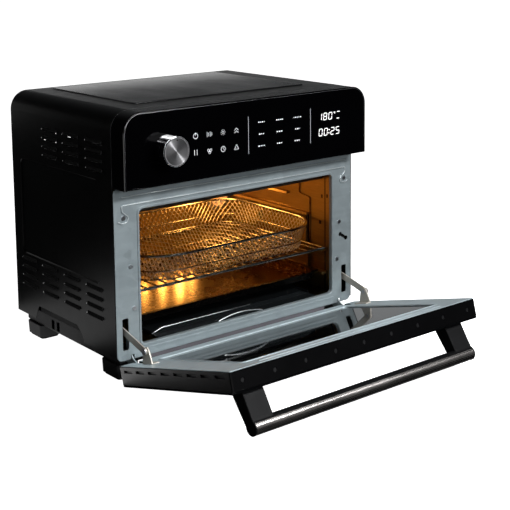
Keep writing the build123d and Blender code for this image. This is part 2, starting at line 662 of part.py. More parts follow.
export_step(hinge_brackets.part, "parts/hinge_brackets.step")

ARM_TILT = 14.5
PIN = door_point(0, PIN_S, PIN_H)
ARM_L = 70.0
ARM_END = (PIN[1] + ARM_L * cos(radians(ARM_TILT)), PIN[2] + ARM_L * sin(radians(ARM_TILT)))
ARM_MID = ((PIN[1] + ARM_END[0]) / 2, (PIN[2] + ARM_END[1]) / 2)
XA = 186.3         # stay arm, middle of its sheet

with BuildPart() as hinge_springs:
    for x in (-XA, XA):
        y0, y1 = ARM_END[0] + 5.2, F + 149.2
        with Locations((x, (y0 + y1) / 2, ARM_END[1])):
            Cylinder(2.6, y1 - y0, rotation=(90, 0, 0))
        n = 30
        pitch = (y1 - y0 - 6) / n
        with Locations(*[(x, y0 + 3 + (i + 0.5) * pitch, ARM_END[1]) for i in range(n)]):
            Cylinder(4.0, pitch * 0.52, rotation=(90, 0, 0))
hinge_springs.part.label = "hinge_springs"
export_step(hinge_springs.part, "parts/hinge_springs.step")

with BuildPart() as hinge_arm_left:
    with BuildSketch(xplane(-XA - 0.9)):
        with Locations(ARM_MID):
            SlotCenterToCenter(ARM_L, 9, rotation=ARM_TILT)
        with Locations((PIN[1], PIN[2])):
            Circle(2.55, mode=Mode.SUBTRACT)
        with Locations(ARM_END):
            Circle(1.6, mode=Mode.SUBTRACT)
    extrude(amount=1.8)
hinge_arm_left.part.label = "hinge_arm_left"
export_step(hinge_arm_left.part, "parts/hinge_arm_left.step")

with BuildPart() as hinge_arm_right:
    with BuildSketch(xplane(XA - 0.9)):
        with Locations(ARM_MID):
            SlotCenterToCenter(ARM_L, 9, rotation=ARM_TILT)
        with Locations((PIN[1], PIN[2])):
            Circle(2.55, mode=Mode.SUBTRACT)
        with Locations(ARM_END):
            Circle(1.6, mode=Mode.SUBTRACT)
    extrude(amount=1.8)
hinge_arm_right.part.label = "hinge_arm_right"
export_step(hinge_arm_right.part, "parts/hinge_arm_right.step")

# ---------------------------------------------------------------- door
DW = 400.0
WALL = 6.0
WIN_X, WIN_S1, WIN_S2 = 158.0, 28.0, 201.0
LEG_X1, LEG_X2 = 150.0, 180.0
BAR_S, BAR_H, BAR_R = 226.0, -66.8, 9.0
LEG_SCREW_S = 209.0

with BuildPart(door_plane) as door_housing:
    with Locations((0, DOOR_L / 2, -23.0)):
        Box(DW, DOOR_L, 22.0, align=LOW)
    fillet(door_housing.edges().filter_by(Axis(door_plane.origin, door_plane.z_dir)), 2.0)
    with Locations((0, DOOR_L / 2, -30.0)):
        Box(DW - 2 * WALL, DOOR_L - 2 * WALL, 40.0, align=LOW, mode=Mode.SUBTRACT)
    # air slots along both side walls
    with Locations(*[(sx * DW / 2, 18.5 + 27.6 * i, -6.6) for sx in (-1, 1) for i in range(8)]):
        Box(5.0, 19.0, 3.4, mode=Mode.SUBTRACT)
    # screw recesses in the upper edge
    with Locations(*[(x, DOOR_L, -12.5) for x in range(-184, 185, 46)]):
        Cylinder(2.6, 5.0, rotation=(90, 0, 0), mode=Mode.SUBTRACT)
    # hinge pockets and pivot bores in the lower wall
    with Locations((-XH, 4.0, -9.0), (XH, 4.0, -9.0)):
        Box(9.0, 14.0, 21.0, mode=Mode.SUBTRACT)
    with Locations((-XH, PIV_S, PIV_H), (XH, PIV_S, PIV_H)):
        Cylinder(2.5, 22.0, rotation=(0, 90, 0), mode=Mode.SUBTRACT)
door_housing.part.label = "door_housing"
export_step(door_housing.part, "parts/door_housing.step")

with BuildPart(door_plane) as door_outer_glass:
    with BuildSketch(door_plane.offset(-DOOR_T)):
        with Locations((0, DOOR_L / 2)):
            RectangleRounded(DW, DOOR_L, 3)
    extrude(amount=DOOR_T - 23.1)
    chamfer(door_outer_glass.faces().sort_by(Axis(door_plane.origin, door_plane.z_dir))[0].edges(), 0.8)
    with Locations(*[(sx * 165.0, s, -24.5) for sx in (-1, 1) for s in (LEG_SCREW_S,)]):
        Cylinder(2.6, 8.0, mode=Mode.SUBTRACT)
door_outer_glass.part.label = "door_outer_glass"
export_step(door_outer_glass.part, "parts/door_outer_glass.step")

with BuildPart(door_plane) as door_inner_panel:
    with BuildSketch(door_plane.offset(-0.9)):
        with Locations((0, DOOR_L / 2)):
            RectangleRounded(DW - 1.0, DOOR_L - 1.0, 3)
        with Locations((0, (WIN_S1 + WIN_S2) / 2)):
            RectangleRounded(2 * WIN_X, WIN_S2 - WIN_S1, 6, mode=Mode.SUBTRACT)
        with Locations((-XH, 9.0), (XH, 9.0)):
            Rectangle(9.0, 24.0, mode=Mode.SUBTRACT)
    extrude(amount=0.9)
    # pressed bead round the window and pressed bars beside it
    with BuildSketch(door_plane):
        with Locations((0, (WIN_S1 + WIN_S2) / 2)):
            RectangleRounded(2 * WIN_X + 9, WIN_S2 - WIN_S1 + 9, 9)
            RectangleRounded(2 * WIN_X + 3, WIN_S2 - WIN_S1 + 3, 7, mode=Mode.SUBTRACT)
        with Locations((0, 219.0)):
            RectangleRounded(300, 4.0, 1.8)
    extrude(amount=0.6)
door_inner_panel.part.label = "door_inner_panel"
export_step(door_inner_panel.part, "parts/door_inner_panel.step")

with BuildPart(door_plane) as door_inner_glass:
    with BuildSketch(door_plane.offset(-5.0)):
        with Locations((0, (WIN_S1 + WIN_S2) / 2)):
            RectangleRounded(2 * WIN_X + 24, WIN_S2 - WIN_S1 + 24, 4)
    extrude(amount=4.0)
door_inner_glass.part.label = "door_inner_glass"
export_step(door_inner_glass.part, "parts/door_inner_glass.step")

with BuildPart(door_plane) as door_screws:
    with Locations(*[(x, DOOR_L - 1.6, -12.5) for x in range(-184, 185, 46)]):
        Cylinder(2.5, 1.6, rotation=(90, 0, 0))
door_screws.part.label = "door_screws"
export_step(door_screws.part, "parts/door_screws.step")

LEG_OUT = [(198.5, -DOOR_T - 0.1), (219.7, -DOOR_T - 0.1), (229.8, -56.0), (231.5, -60.5), (219.0, -72.0), (215.0, -62.0)]
leg_run = (0, -(229.8 - 219.7) * CA + (-56.0 + DOOR_T + 0.1) * SA, (229.8 - 219.7) * SA + (-56.0 + DOOR_T + 0.1) * CA)
with BuildPart() as handle_core:
    for x in (-LEG_X1, LEG_X2):
        with BuildSketch(ear_plane(x)):
            with BuildLine():
                Polyline(*LEG_OUT, close=True)
            make_face()
        extrude(amount=LEG_X2 - LEG_X1)
    chamfer(handle_core.edges().filter_by(Axis((0, 0, 0), leg_run)), 0.9)
    # grip core: round under the cover, full size along the side the cover leaves open
    with BuildSketch(ear_plane(LEG_X2)):
        with Locations((BAR_S, BAR_H)):
            Circle(BAR_R - 1.1)
        with BuildLine():
            arc = CenterArc((BAR_S, BAR_H), BAR_R, 40, 180)
            Line(arc @ 1, arc @ 0)
        make_face()
    extrude(amount=2 * LEG_X2)
    for x in (LEG_X2, -LEG_X2 + 1.6):
        with BuildSketch(ear_plane(x)):
            with Locations((BAR_S, BAR_H)):
                Circle(BAR_R + 0.2)
        extrude(amount=1.6)
    # screw bores in the legs
    for x in (-165.0, 165.0):
        with Locations(Location(door_point(x, LEG_SCREW_S, -33.0), (-(90.0 - OPEN), 0, 0))):
            Cylinder(2.5, 16.0, mode=Mode.SUBTRACT)
handle_core.part.label = "handle_core"
export_step(handle_core.part, "parts/handle_core.step")

with BuildPart() as handle_sleeve:
    with BuildSketch(ear_plane(LEG_X2 - 1.7)):
        with BuildLine():
            arc = CenterArc((BAR_S, BAR_H), BAR_R, -139, 178)
            Line(arc @ 1, arc @ 0)
        make_face()
        with Locations((BAR_S, BAR_H)):
            Circle(BAR_R - 1.0, mode=Mode.SUBTRACT)
    extrude(amount=2 * LEG_X2 - 3.4)
handle_sleeve.part.label = "handle_sleeve"
export_step(handle_sleeve.part, "parts/handle_sleeve.step")

with BuildPart(door_plane) as handle_screws:
    for sx in (-1, 1):
        with Locations((sx * 165.0, LEG_SCREW_S, -40.0)):
            Cylinder(2.5, 18.0, align=LOW)
        with Locations((sx * 165.0, LEG_SCREW_S, -23.0)):
            Cylinder(4.6, 3.0, align=LOW)
handle_screws.part.label = "handle_screws"
export_step(handle_screws.part, "parts/handle_screws.step")

XE = 183.9         # hinge ear, middle of its sheet
with BuildPart() as hinge_ears:
    for x in (-XE, XE):
        with BuildSketch(ear_plane(x + 0.9)):
            with BuildLine():
                Polyline(
                    (30, 0.1), (52, 0.1), (48.5, PIN_H + 0.4), (45.6, PIN_H + 4.6), (39.4, PIN_H + 4.6), (36.5, PIN_H + 0.4), close=True
                )
            make_face()
            with Locations((PIN_S, PIN_H)):
                Circle(2.5, mode=Mode.SUBTRACT)
        extrude(amount=1.8)
        inner = x + 5.0 if x < 0 else x - 5.0
        with BuildSketch(ear_plane(inner + 4.2)):
            with Locations((41, 0.7)):
                Rectangle(24, 1.2)
        extrude(amount=8.4)
hinge_ears.part.label = "hinge_ears"
export_step(hinge_ears.part, "parts/hinge_ears.step")

with BuildPart() as hinge_pins:
    for sx in (-1, 1):
        # stay-arm rivet
        with Locations((sx * (XA + XE) / 2, PIN[1], PIN[2])):
            Cylinder(2.5, 6.0, rotation=(0, 90, 0))
        with Locations((sx * (XA + 1.75), PIN[1], PIN[2])):
            Cylinder(4.2, 1.4, rotation=(0, 90, 0))
        # door pivot pin
        with Locations((sx * XH, PIV_Y, PIV_Z)):
            Cylinder(2.5, 21.0, rotation=(0, 90, 0))
hinge_pins.part.label = "hinge_pins"
export_step(hinge_pins.part, "parts/hinge_pins.step")

# ---------------------------------------------------------------- loose shelves and trays
with BuildPart() as baking_tray:
    with Locations((0, F + 122, 66.2)):
        Box(304, 196, 10.6, align=LOW)
    fillet(baking_tray.edges().filter_by(Axis.Z), 10)
    fillet(baking_tray.edges().group_by(Axis.Z)[0], 1.4)
    with BuildSketch(Plane.XY.offset(76.1)):
        with Locations((0, F + 122)):
            RectangleRounded(321, 204, 11)
    extrude(amount=0.8)
    with BuildSketch(Plane.XY.offset(76.9)):
        with Locations((0, F + 122)):
            RectangleRounded(302.4, 194.4, 9.2)
    extrude(amount=-9.6, mode=Mode.SUBTRACT)
baking_tray.part.label = "baking_tray"
export_step(baking_tray.part, "parts/baking_tray.step")

RX, RY1, RY2, RZ = 158.4, F + 12.0, F + 224.0, 112.0
with BuildPart() as wire_rack:
    with Locations((0, RY1, RZ), (0, RY2, RZ)):
        Cylinder(2.0, 2 * RX + 3.4, rotation=(0, 90, 0))
    with Locations((-RX, (RY1 + RY2) / 2, RZ), (RX, (RY1 + RY2) / 2, RZ)):
        Cylinder(1.9, RY2 - RY1, rotation=(90, 0, 0))
    with Locations((0, F + 84, RZ), (0, F + 154, RZ)):
        Cylinder(1.5, 2 * RX, rotation=(0, 90, 0))
    with Locations(*[(-144 + 16 * i, (RY1 + RY2) / 2, RZ + 0.6) for i in range(19)]):
        Cylinder(1.2, RY2 - RY1, rotation=(90, 0, 0))
wire_rack.part.label = "wire_rack"
export_step(wire_rack.part, "parts/wire_rack.step")

BX, BY1, BY2, BZ1, BZ2 = 147.0, F + 14.0, F + 221.0, 114.6, 152.0
with BuildPart() as fry_basket:
    with BuildSketch(Plane.XY.offset(BZ1)) as basket_foot:
        with Locations((0, (BY1 + BY2) / 2)):
            Rectangle(2 * BX, BY2 - BY1)
        fillet(basket_foot.vertices().group_by(Axis.Y)[0], 58)
        fillet(basket_foot.vertices().group_by(Axis.Y)[-1], 26)
    extrude(amount=BZ2 - BZ1, taper=-15)
    fillet(fry_basket.edges().group_by(Axis.Z)[0], 5)
    with BuildSketch(Plane.XY.offset(BZ1 + 2)) as basket_hollow:
        with Locations((0, (BY1 + BY2) / 2)):
            Rectangle(2 * BX - 3, BY2 - BY1 - 3)
        fillet(basket_hollow.vertices().group_by(Axis.Y)[0], 56.5)
        fillet(basket_hollow.vertices().group_by(Axis.Y)[-1], 24.5)
    extrude(amount=BZ2 - BZ1, taper=-15, mode=Mode.SUBTRACT)
fry_basket.part.label = "fry_basket"
export_step(fry_basket.part, "parts/fry_basket.step")

with BuildPart() as crumb_tray:
    with Locations((0, F + 115.5, 47.8)):
        Box(270, 223, 0.8, align=LOW)
    # upturned side and rear edges, low front lip, arched finger tab
    with Locations((-134.6, F + 123.5, 47.8), (134.6, F + 123.5, 47.8)):
        Box(0.8, 207, 4.0, align=LOW)
    with Locations((0, F + 226.6, 47.8)):
        Box(270, 0.8, 4.0, align=LOW)
    with BuildSketch(yplane(F + 20.4)):
        with BuildLine():
            Polyline((-135, 47.8), (135, 47.8), (118, 53.6), (-118, 53.6), close=True)
        make_face()
    extrude(amount=0.9)
    with BuildSketch(yplane(F + 5.0)):
        with BuildLine():
            ThreePointArc((-38, 47.8), (0, 53.0), (38, 47.8))
            Line((38, 47.8), (-38, 47.8))
        make_face()
    extrude(amount=0.9)
crumb_tray.part.label = "crumb_tray"
export_step(crumb_tray.part, "parts/crumb_tray.step")

print("door rest edge", round(DY0, 3), round(DZ0, 3), "pin", [round(v, 3) for v in PIN], "arm end", [round(v, 3) for v in ARM_END])
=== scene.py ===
import json
import math
import random

import bmesh
import bpy
from mathutils import Matrix, Vector


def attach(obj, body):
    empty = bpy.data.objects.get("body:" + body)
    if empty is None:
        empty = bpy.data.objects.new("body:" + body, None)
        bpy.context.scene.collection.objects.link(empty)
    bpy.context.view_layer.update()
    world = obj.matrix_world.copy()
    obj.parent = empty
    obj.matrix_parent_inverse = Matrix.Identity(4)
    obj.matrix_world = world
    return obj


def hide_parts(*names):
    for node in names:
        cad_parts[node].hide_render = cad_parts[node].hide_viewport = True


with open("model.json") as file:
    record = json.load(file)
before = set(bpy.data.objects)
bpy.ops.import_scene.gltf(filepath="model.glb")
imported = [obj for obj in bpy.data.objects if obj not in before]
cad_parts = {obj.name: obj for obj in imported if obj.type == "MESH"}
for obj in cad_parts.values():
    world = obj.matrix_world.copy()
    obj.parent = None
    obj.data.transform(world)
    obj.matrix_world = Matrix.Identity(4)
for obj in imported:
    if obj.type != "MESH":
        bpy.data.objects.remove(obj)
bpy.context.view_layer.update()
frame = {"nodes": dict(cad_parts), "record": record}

nodes = frame["nodes"]
scene = bpy.context.scene
MM = 0.001

# ------------------------------------------------------------------ the object's own measures (mm)
F = -7.5
T_PANEL = 29.0
Z_PANEL, Z_TOP, R_TOP, W = 252.5, 347.0, 25.0, 400.0
Y_GLASS = F - T_PANEL + 0.1      # front face of the control glass
KX, KZ = -138.0, 297.0

# ------------------------------------------------------------------ node helpers


class Tree:
    """A material's nodes, with short ways to add and join them."""

    def __init__(self, name):
        self.mat = bpy.data.materials.new(name)
        self.mat.use_nodes = True
        self.t = self.mat.node_tree
        self.t.nodes.clear()
        self.out = self.t.nodes.new("ShaderNodeOutputMaterial")
        self.bsdf = self.t.nodes.new("ShaderNodeBsdfPrincipled")
        self.t.links.new(self.bsdf.outputs["BSDF"], self.out.inputs["Surface"])
        self.coord = self.t.nodes.new("ShaderNodeTexCoord").outputs["Object"]

    def add(self, kind, **kw):
        n = self.t.nodes.new(kind)
        for k, v in kw.items():
            setattr(n, k, v)
        return n

    def link(self, a, b):
        self.t.links.new(a, b)

    def set(self, **kw):
        for k, v in kw.items():
            self.bsdf.inputs[k.replace("_", " ")].default_value = v

    def scaled(self, sx, sy, sz, loc=(0, 0, 0)):
        m = self.add("ShaderNodeMapping")
        m.inputs["Scale"].default_value = (sx, sy, sz)
        m.inputs["Location"].default_value = loc
        self.link(self.coord, m.inputs["Vector"])
        return m.outputs["Vector"]

    def noise(self, scale, detail=4.0, rough=0.55, vector=None, distortion=0.0):
        n = self.add("ShaderNodeTexNoise")
        n.inputs["Scale"].default_value = scale
        n.inputs["Detail"].default_value = detail
        n.inputs["Roughness"].default_value = rough
        n.inputs["Distortion"].default_value = distortion
        self.link(vector or self.coord, n.inputs["Vector"])
        return n.outputs["Fac"]

    def voronoi(self, scale, feature="F1", vector=None, out="Distance"):
        n = self.add("ShaderNodeTexVoronoi", feature=feature)
        n.inputs["Scale"].default_value = scale
        self.link(vector or self.coord, n.inputs["Vector"])
        return n.outputs[out]

    def ramp(self, value, *stops):
        n = self.add("ShaderNodeValToRGB")
        e = n.color_ramp.elements
        while len(e) > len(stops):
            e.remove(e[-1])
        while len(e) < len(stops):
            e.new(0.5)
        for el, (p, c) in zip(e, stops):
            el.position = p
            el.color = (*c, 1) if isinstance(c, (tuple, list)) else (c, c, c, 1)
        self.link(value, n.inputs["Fac"])
        return n.outputs["Color"]

    def remap(self, value, lo, hi, a=0.0, b=1.0):
        n = self.add("ShaderNodeMapRange")
        n.inputs["From Min"].default_value = a
        n.inputs["From Max"].default_value = b
        n.inputs["To Min"].default_value = lo
        n.inputs["To Max"].default_value = hi
        self.link(value, n.inputs["Value"])
        return n.outputs["Result"]

    def math(self, op, a, b=None, c=None):
        n = self.add("ShaderNodeMath", operation=op)
        for i, v in enumerate((a, b, c)):
            if v is None:
                continue
            if isinstance(v, (int, float)):
                n.inputs[i].default_value = v
            else:
                self.link(v, n.inputs[i])
        return n.outputs[0]

    def mix(self, fac, a, b, blend="MIX"):
        n = self.add("ShaderNodeMix", data_type="RGBA", blend_type=blend)
        for sock, v in ((n.inputs[0], fac), (n.inputs[6], a), (n.inputs[7], b)):
            if isinstance(v, (int, float)):
                sock.default_value = v
            elif isinstance(v, (tuple, list)):
                sock.default_value = (*v, 1)
            else:
                self.link(v, sock)
        return n.outputs[2]

    def bump(self, height, strength=0.2, distance=0.0005, normal=None):
        n = self.add("ShaderNodeBump")
        n.inputs["Strength"].default_value = strength
        n.inputs["Distance"].default_value = distance
        self.link(height, n.inputs["Height"])
        if normal is not None:
            self.link(normal, n.inputs["Normal"])
        return n.outputs["Normal"]

    def color(self, c):
        self.link(c, self.bsdf.inputs["Base Color"])

    def rough(self, r):
        self.link(r, self.bsdf.inputs["Roughness"])

    def normal(self, n, edge=0.0):
        """Sets the shading normal, with sharp edges softened over a small radius (metres)."""
        if edge:
            b = self.add("ShaderNodeBevel", samples=4)
            b.inputs["Radius"].default_value = edge
            self.link(n, b.inputs["Normal"])
            n = b.outputs[0]
        self.link(n, self.bsdf.inputs["Normal"])

    def axes(self):
        n = self.add("ShaderNodeSeparateXYZ")
        self.link(self.coord, n.inputs[0])
        return n.outputs

    def near(self, value, centre, half):
        """1 within a band, 0 outside it (mm)."""
        return self.math("LESS_THAN", self.math("ABSOLUTE", self.math("SUBTRACT", value, centre * MM)), half * MM)


# ------------------------------------------------------------------ materials
def paint(name, base, rough, spec, grain=1400.0, grain_depth=0.00006, strength=0.25, edge=0.0005, apron=None, hoods=None):
    """Powder-coated sheet: fine orange peel, faint handling marks; apron gives a paler tint in front of a line (mm)."""
    m = Tree(name)
    big = m.noise(14, 3)
    col = m.ramp(big, (0.3, tuple(c * 0.75 for c in base)), (0.7, tuple(c * 1.3 for c in base)))
    if apron:
        pale = m.ramp(big, (0.3, tuple(c * 0.85 for c in apron[1])), (0.7, tuple(c * 1.15 for c in apron[1])))
        col = m.mix(m.math("LESS_THAN", m.axes()[1], apron[0] * MM), col, pale)
    m.color(col)
    sheen = m.remap(m.noise(60, 5, 0.6), rough - 0.05, rough + 0.07)
    if hoods:
        sheen = m.math("ADD", sheen, m.math("MULTIPLY", m.math("GREATER_THAN", m.math("ABSOLUTE", m.axes()[0]), hoods * MM), 0.5))
    m.rough(sheen)
    m.normal(m.bump(m.noise(grain, 2), strength, grain_depth), edge)
    m.set(Specular_IOR_Level=spec)
    return m.mat


def gloss(name, base, rough, spec, coat=0.0, edge=0.0005):
    """Polished black plastic or back-painted glass: faint dust and wipe marks in the gloss."""
    m = Tree(name)
    m.color(m.ramp(m.noise(9, 2), (0.35, tuple(c * 0.8 for c in base)), (0.75, tuple(c * 1.3 for c in base))))
    wipes = m.noise(1.0, 5, 0.6, m.scaled(28, 9, 60))
    m.rough(m.remap(wipes, max(rough - 0.02, 0.0), rough + 0.05, 0.3, 0.8))
    m.normal(m.bump(m.noise(6, 1), 0.02, 0.0005), edge)
    m.set(Specular_IOR_Level=spec, Coat_Weight=coat, Coat_Roughness=0.03)
    return m.mat


def galvanised(name, tint, rough=0.42, dark=0.82, metal=0.5):
    """Zinc-coated sheet: soft spangle, rolling streaks and a few scuffs."""
    m = Tree(name)
    span = m.voronoi(95, out="Color")
    bw = m.add("ShaderNodeRGBToBW")
    m.link(span, bw.inputs[0])
    streak = m.noise(1.0, 6, 0.65, m.scaled(7, 160, 160))
    patch = m.noise(11, 4, 0.6)
    v = m.math("ADD", m.math("MULTIPLY", bw.outputs[0], 0.18), m.math("MULTIPLY", streak, 0.36))
    v = m.math("ADD", v, m.math("MULTIPLY", patch, 0.46))
    m.color(m.ramp(v, (0.25, tuple(c * dark for c in tint)), (0.5, tint), (0.8, tuple(min(c * 1.22, 1) for c in tint))))
    m.rough(m.remap(v, rough - 0.06, rough + 0.12, 0.3, 0.7))
    m.normal(m.bump(m.math("ADD", streak, m.math("MULTIPLY", bw.outputs[0], 0.4)), 0.10, 0.0002), 0.0006)
    m.set(Metallic=metal)
    return m.mat


def brushed(name, tint, rough, along="x", scratch=0.16):
    """Steel brushed along one axis."""
    m = Tree(name)
    s = {"x": (5, 900, 900), "y": (900, 5, 900), "z": (900, 900, 5)}[along]
    line = m.noise(1.0, 4, 0.7, m.scaled(*s))
    soft = m.noise(12, 3)
    m.color(m.ramp(line, (0.3, tuple(c * 0.82 for c in tint)), (0.7, tuple(min(c * 1.12, 1) for c in tint))))
    m.rough(m.remap(m.math("ADD", m.math("MULTIPLY", line, 0.6), m.math("MULTIPLY", soft, 0.4)), rough - 0.07, rough + 0.10, 0.3, 0.7))
    m.normal(m.bump(line, scratch, 0.00008))
    m.set(Metallic=1.0)
    return m.mat


def plated(name, tint, rough):
    """Bright plating: nearly clean, with a light haze and pin-point pits."""
    m = Tree(name)
    haze = m.noise(40, 4, 0.6)
    m.color(m.ramp(haze, (0.3, tuple(c * 0.92 for c in tint)), (0.7, tint)))
    m.rough(m.remap(haze, max(rough - 0.03, 0.02), rough + 0.06, 0.3, 0.75))
    m.normal(m.bump(m.noise(500, 2), 0.04, 0.0001))
    m.set(Metallic=1.0)
    return m.mat


def moulded(name, base, rough=0.55, spec=0.25, grain=900.0):
    """Textured moulded plastic."""
    m = Tree(name)
    cells = m.voronoi(grain)
    m.color(m.ramp(m.noise(25, 3), (0.3, tuple(c * 0.8 for c in base)), (0.75, tuple(c * 1.25 for c in base))))
    m.rough(m.remap(m.noise(70, 4), rough - 0.06, rough + 0.08))
    m.normal(m.bump(cells, 0.22, 0.00012), 0.0005)
    m.set(Specular_IOR_Level=spec)
    return m.mat


def cavity(name, tint, rough=0.30, heat=(0.55, 0.36, 0.16), metal=0.5, seams_and_painted_shade=None):
    """Aluminised oven sheet, browned by heat, with a rolled grain; the last argument darkens seams and holes, and
    paints shade on parts in shadow such as rail uprights and a tray's front wall.
    """
    m = Tree(name)
    grain = m.noise(1.0, 5, 0.6, m.scaled(40, 40, 700))
    cloud = m.noise(13, 5, 0.65)
    fleck = m.noise(190, 3, 0.6)
    base = m.ramp(grain, (0.3, tuple(c * 0.85 for c in tint)), (0.7, tuple(min(c * 1.1, 1) for c in tint)))
    brown = m.remap(cloud, 0.0, 0.42, 0.46, 0.75)
    col = m.mix(brown, base, heat)
    if seams_and_painted_shade:
        x, y, z = m.axes()
        dark = None
        for y0, hy, z0, hz in seams_and_painted_shade:
            spot = m.math("MULTIPLY", m.near(y, y0, hy), m.near(z, z0, hz))
            dark = spot if dark is None else m.math("MAXIMUM", dark, spot)
        col = m.mix(dark, col, (0.006, 0.004, 0.003))
    m.color(col)
    m.rough(m.remap(m.math("ADD", m.math("MULTIPLY", cloud, 0.6), m.math("MULTIPLY", fleck, 0.4)), rough - 0.08, rough + 0.16, 0.3, 0.7))
    m.normal(m.bump(m.math("ADD", grain, m.math("MULTIPLY", fleck, 0.5)), 0.14, 0.0002))
    m.set(Metallic=metal)
    return m.mat


def spun(name, tint, centre, y_face, r_face):
    """Chromed knob about an axis along Y: finely turned face, polished barrel."""
    m = Tree(name)
    sep = m.add("ShaderNodeSeparateXYZ")
    m.link(m.coord, sep.inputs[0])
    dx = m.math("SUBTRACT", sep.outputs[0], centre[0])
    dz = m.math("SUBTRACT", sep.outputs[2], centre[1])
    r = m.math("SQRT", m.math("ADD", m.math("MULTIPLY", dx, dx), m.math("MULTIPLY", dz, dz)))
    comb = m.add("ShaderNodeCombineXYZ")
    m.link(r, comb.inputs[0])
    m.link(m.math("MULTIPLY", sep.outputs[1], 0.15), comb.inputs[1])
    ring = m.noise(2600, 3, 0.6, comb.outputs[0])
    face = m.math("MULTIPLY", m.math("LESS_THAN", sep.outputs[1], y_face), m.math("LESS_THAN", r, r_face))
    m.color(m.ramp(ring, (0.3, tuple(c * 0.8 for c in tint)), (0.7, tint)))
    turned = m.remap(ring, 0.31, 0.34, 0.3, 0.7)
    haze = m.remap(m.noise(60, 3), 0.05, 0.10)
    mixr = m.add("ShaderNodeMix", data_type="FLOAT")
    m.link(face, mixr.inputs[0])
    m.link(haze, mixr.inputs[2])
    m.link(turned, mixr.inputs[3])
    m.rough(mixr.outputs[0])
    m.normal(m.bump(m.math("MULTIPLY", ring, face), 0.04, 0.00005))
    tan = m.add("ShaderNodeTangent", direction_type="RADIAL", axis="Y")
    m.link(tan.outputs[0], m.bsdf.inputs["Tangent"])
    m.link(m.math("MULTIPLY", face, 0.96), m.bsdf.inputs["Anisotropic"])
    m.set(Metallic=1.0, Anisotropic_Rotation=0.25)
    return m.mat


def rubber(name):
    m = Tree(name)
    m.color(m.ramp(m.noise(60, 4), (0.3, (0.008, 0.008, 0.008)), (0.7, (0.02, 0.02, 0.02))))
    m.rough(m.remap(m.noise(90, 3), 0.72, 0.9))
    m.normal(m.bump(m.noise(700, 3), 0.3, 0.0002))
    m.set(Specular_IOR_Level=0.2)
    return m.mat


def chalky(name, base, rough=0.8, fibre=False):
    m = Tree(name)
    v = m.noise(1.0, 6, 0.7, m.scaled(120, 120, 500)) if fibre else m.noise(160, 4)
    m.color(m.ramp(v, (0.3, tuple(c * 0.78 for c in base)), (0.7, base)))
    m.rough(m.remap(v, rough - 0.1, rough + 0.1))
    m.normal(m.bump(v, 0.5 if fibre else 0.15, 0.0008 if fibre else 0.0002))
    m.set(Specular_IOR_Level=0.3)
    return m.mat


def board(name):
    """Solder-masked board with tracks."""
    m = Tree(name)
    tracks = m.voronoi(240, "DISTANCE_TO_EDGE")
    t = m.ramp(tracks, (0.02, (0.02, 0.11, 0.05)), (0.07, (0.008, 0.055, 0.025)))
    m.color(m.mix(m.remap(m.noise(40, 3), 0.0, 0.4), t, (0.012, 0.035, 0.02)))
    m.rough(m.remap(m.noise(120, 3), 0.3, 0.5))
    m.normal(m.bump(tracks, 0.15, 0.0002))
    return m.mat


def lamp_glass(name):
    m = Tree(name)
    swirl = m.noise(70, 3, 0.6)
    warm = m.ramp(swirl, (0.3, (1.0, 0.50, 0.16)), (0.7, (1.0, 0.66, 0.30)))
    m.color(warm)
    m.link(warm, m.bsdf.inputs["Emission Color"])
    m.rough(m.remap(swirl, 0.12, 0.3))
    m.normal(m.bump(swirl, 0.1, 0.0005))
    m.set(Emission_Strength=0.5)
    return m.mat


def glow(name, tint, strength):
    """Lit mark seen through the control glass, a little uneven."""
    m = Tree(name)
    c = m.ramp(m.noise(500, 2), (0.3, tuple(v * 0.88 for v in tint)), (0.7, tint))
    m.color(c)
    m.link(c, m.bsdf.inputs["Emission Color"])
    m.rough(m.remap(m.noise(300, 2), 0.3, 0.5))
    m.set(Emission_Strength=strength)
    return m.mat


M = {
    "shell_paint": paint("shell_paint", (0.0006, 0.0006, 0.0007), 0.30, 0.26, hoods=200.3),
    "gloss_black": gloss("gloss_black", (0.0010, 0.0010, 0.0012), 0.10, 0.5),
    "panel_glass": gloss("panel_glass", (0.0002, 0.0002, 0.0003), 0.02, 0.5),
    "door_glass": gloss("door_glass", (0.0015, 0.0016, 0.0018), 0.03, 0.36),
    "door_paint": paint("door_paint", (0.0010, 0.0010, 0.0012), 0.40, 0.07),
    "galvanised": galvanised("galvanised", (0.34, 0.40, 0.42)),
    "cavity_sheet": cavity("cavity_sheet", (0.36, 0.22, 0.07), 0.34, (0.22, 0.12, 0.03)),
    "heater_steel": brushed("heater_steel", (0.20, 0.18, 0.16), 0.42),
    "rack_chrome": plated("rack_chrome", (0.42, 0.40, 0.37), 0.22),
    "basket_steel": plated("basket_steel", (0.74, 0.66, 0.56), 0.32),
    "tray_metal": cavity("tray_metal", (0.30, 0.19, 0.06), 0.22, (0.20, 0.11, 0.03), 0.9),
    "handle_steel": brushed("handle_steel", (0.56, 0.53, 0.51), 0.26),
    "knob_chrome": spun("knob_chrome", (0.60, 0.60, 0.62), (KX * MM, KZ * MM), (F - T_PANEL - 21.0) * MM, 0.0167),
    "screw_zinc": plated("screw_zinc", (0.50, 0.50, 0.52), 0.30),
    "motor_iron": paint("motor_iron", (0.10, 0.10, 0.105), 0.5, 0.4),
    "base_grey": paint("base_grey", (0.010, 0.010, 0.011), 0.5, 0.3),
    "dark_plastic": moulded("dark_plastic", (0.0022, 0.0022, 0.0026), 0.5, 0.13),
    "pad_rubber": rubber("pad_rubber"),
    "ceramic": chalky("ceramic", (0.80, 0.77, 0.70), 0.6),
    "insulation": chalky("insulation", (0.72, 0.68, 0.55), 0.9, True),
    "circuit_board": board("circuit_board"),
    "display": gloss("display", (0.004, 0.004, 0.005), 0.2, 0.4),
    "lamp_glass": lamp_glass("lamp_glass"),
}
for entry in frame["record"]["subparts"]:
    o = nodes[entry["node"]]
    o.data.materials.clear()
    o.data.materials.append(M[entry["material_slot"]])

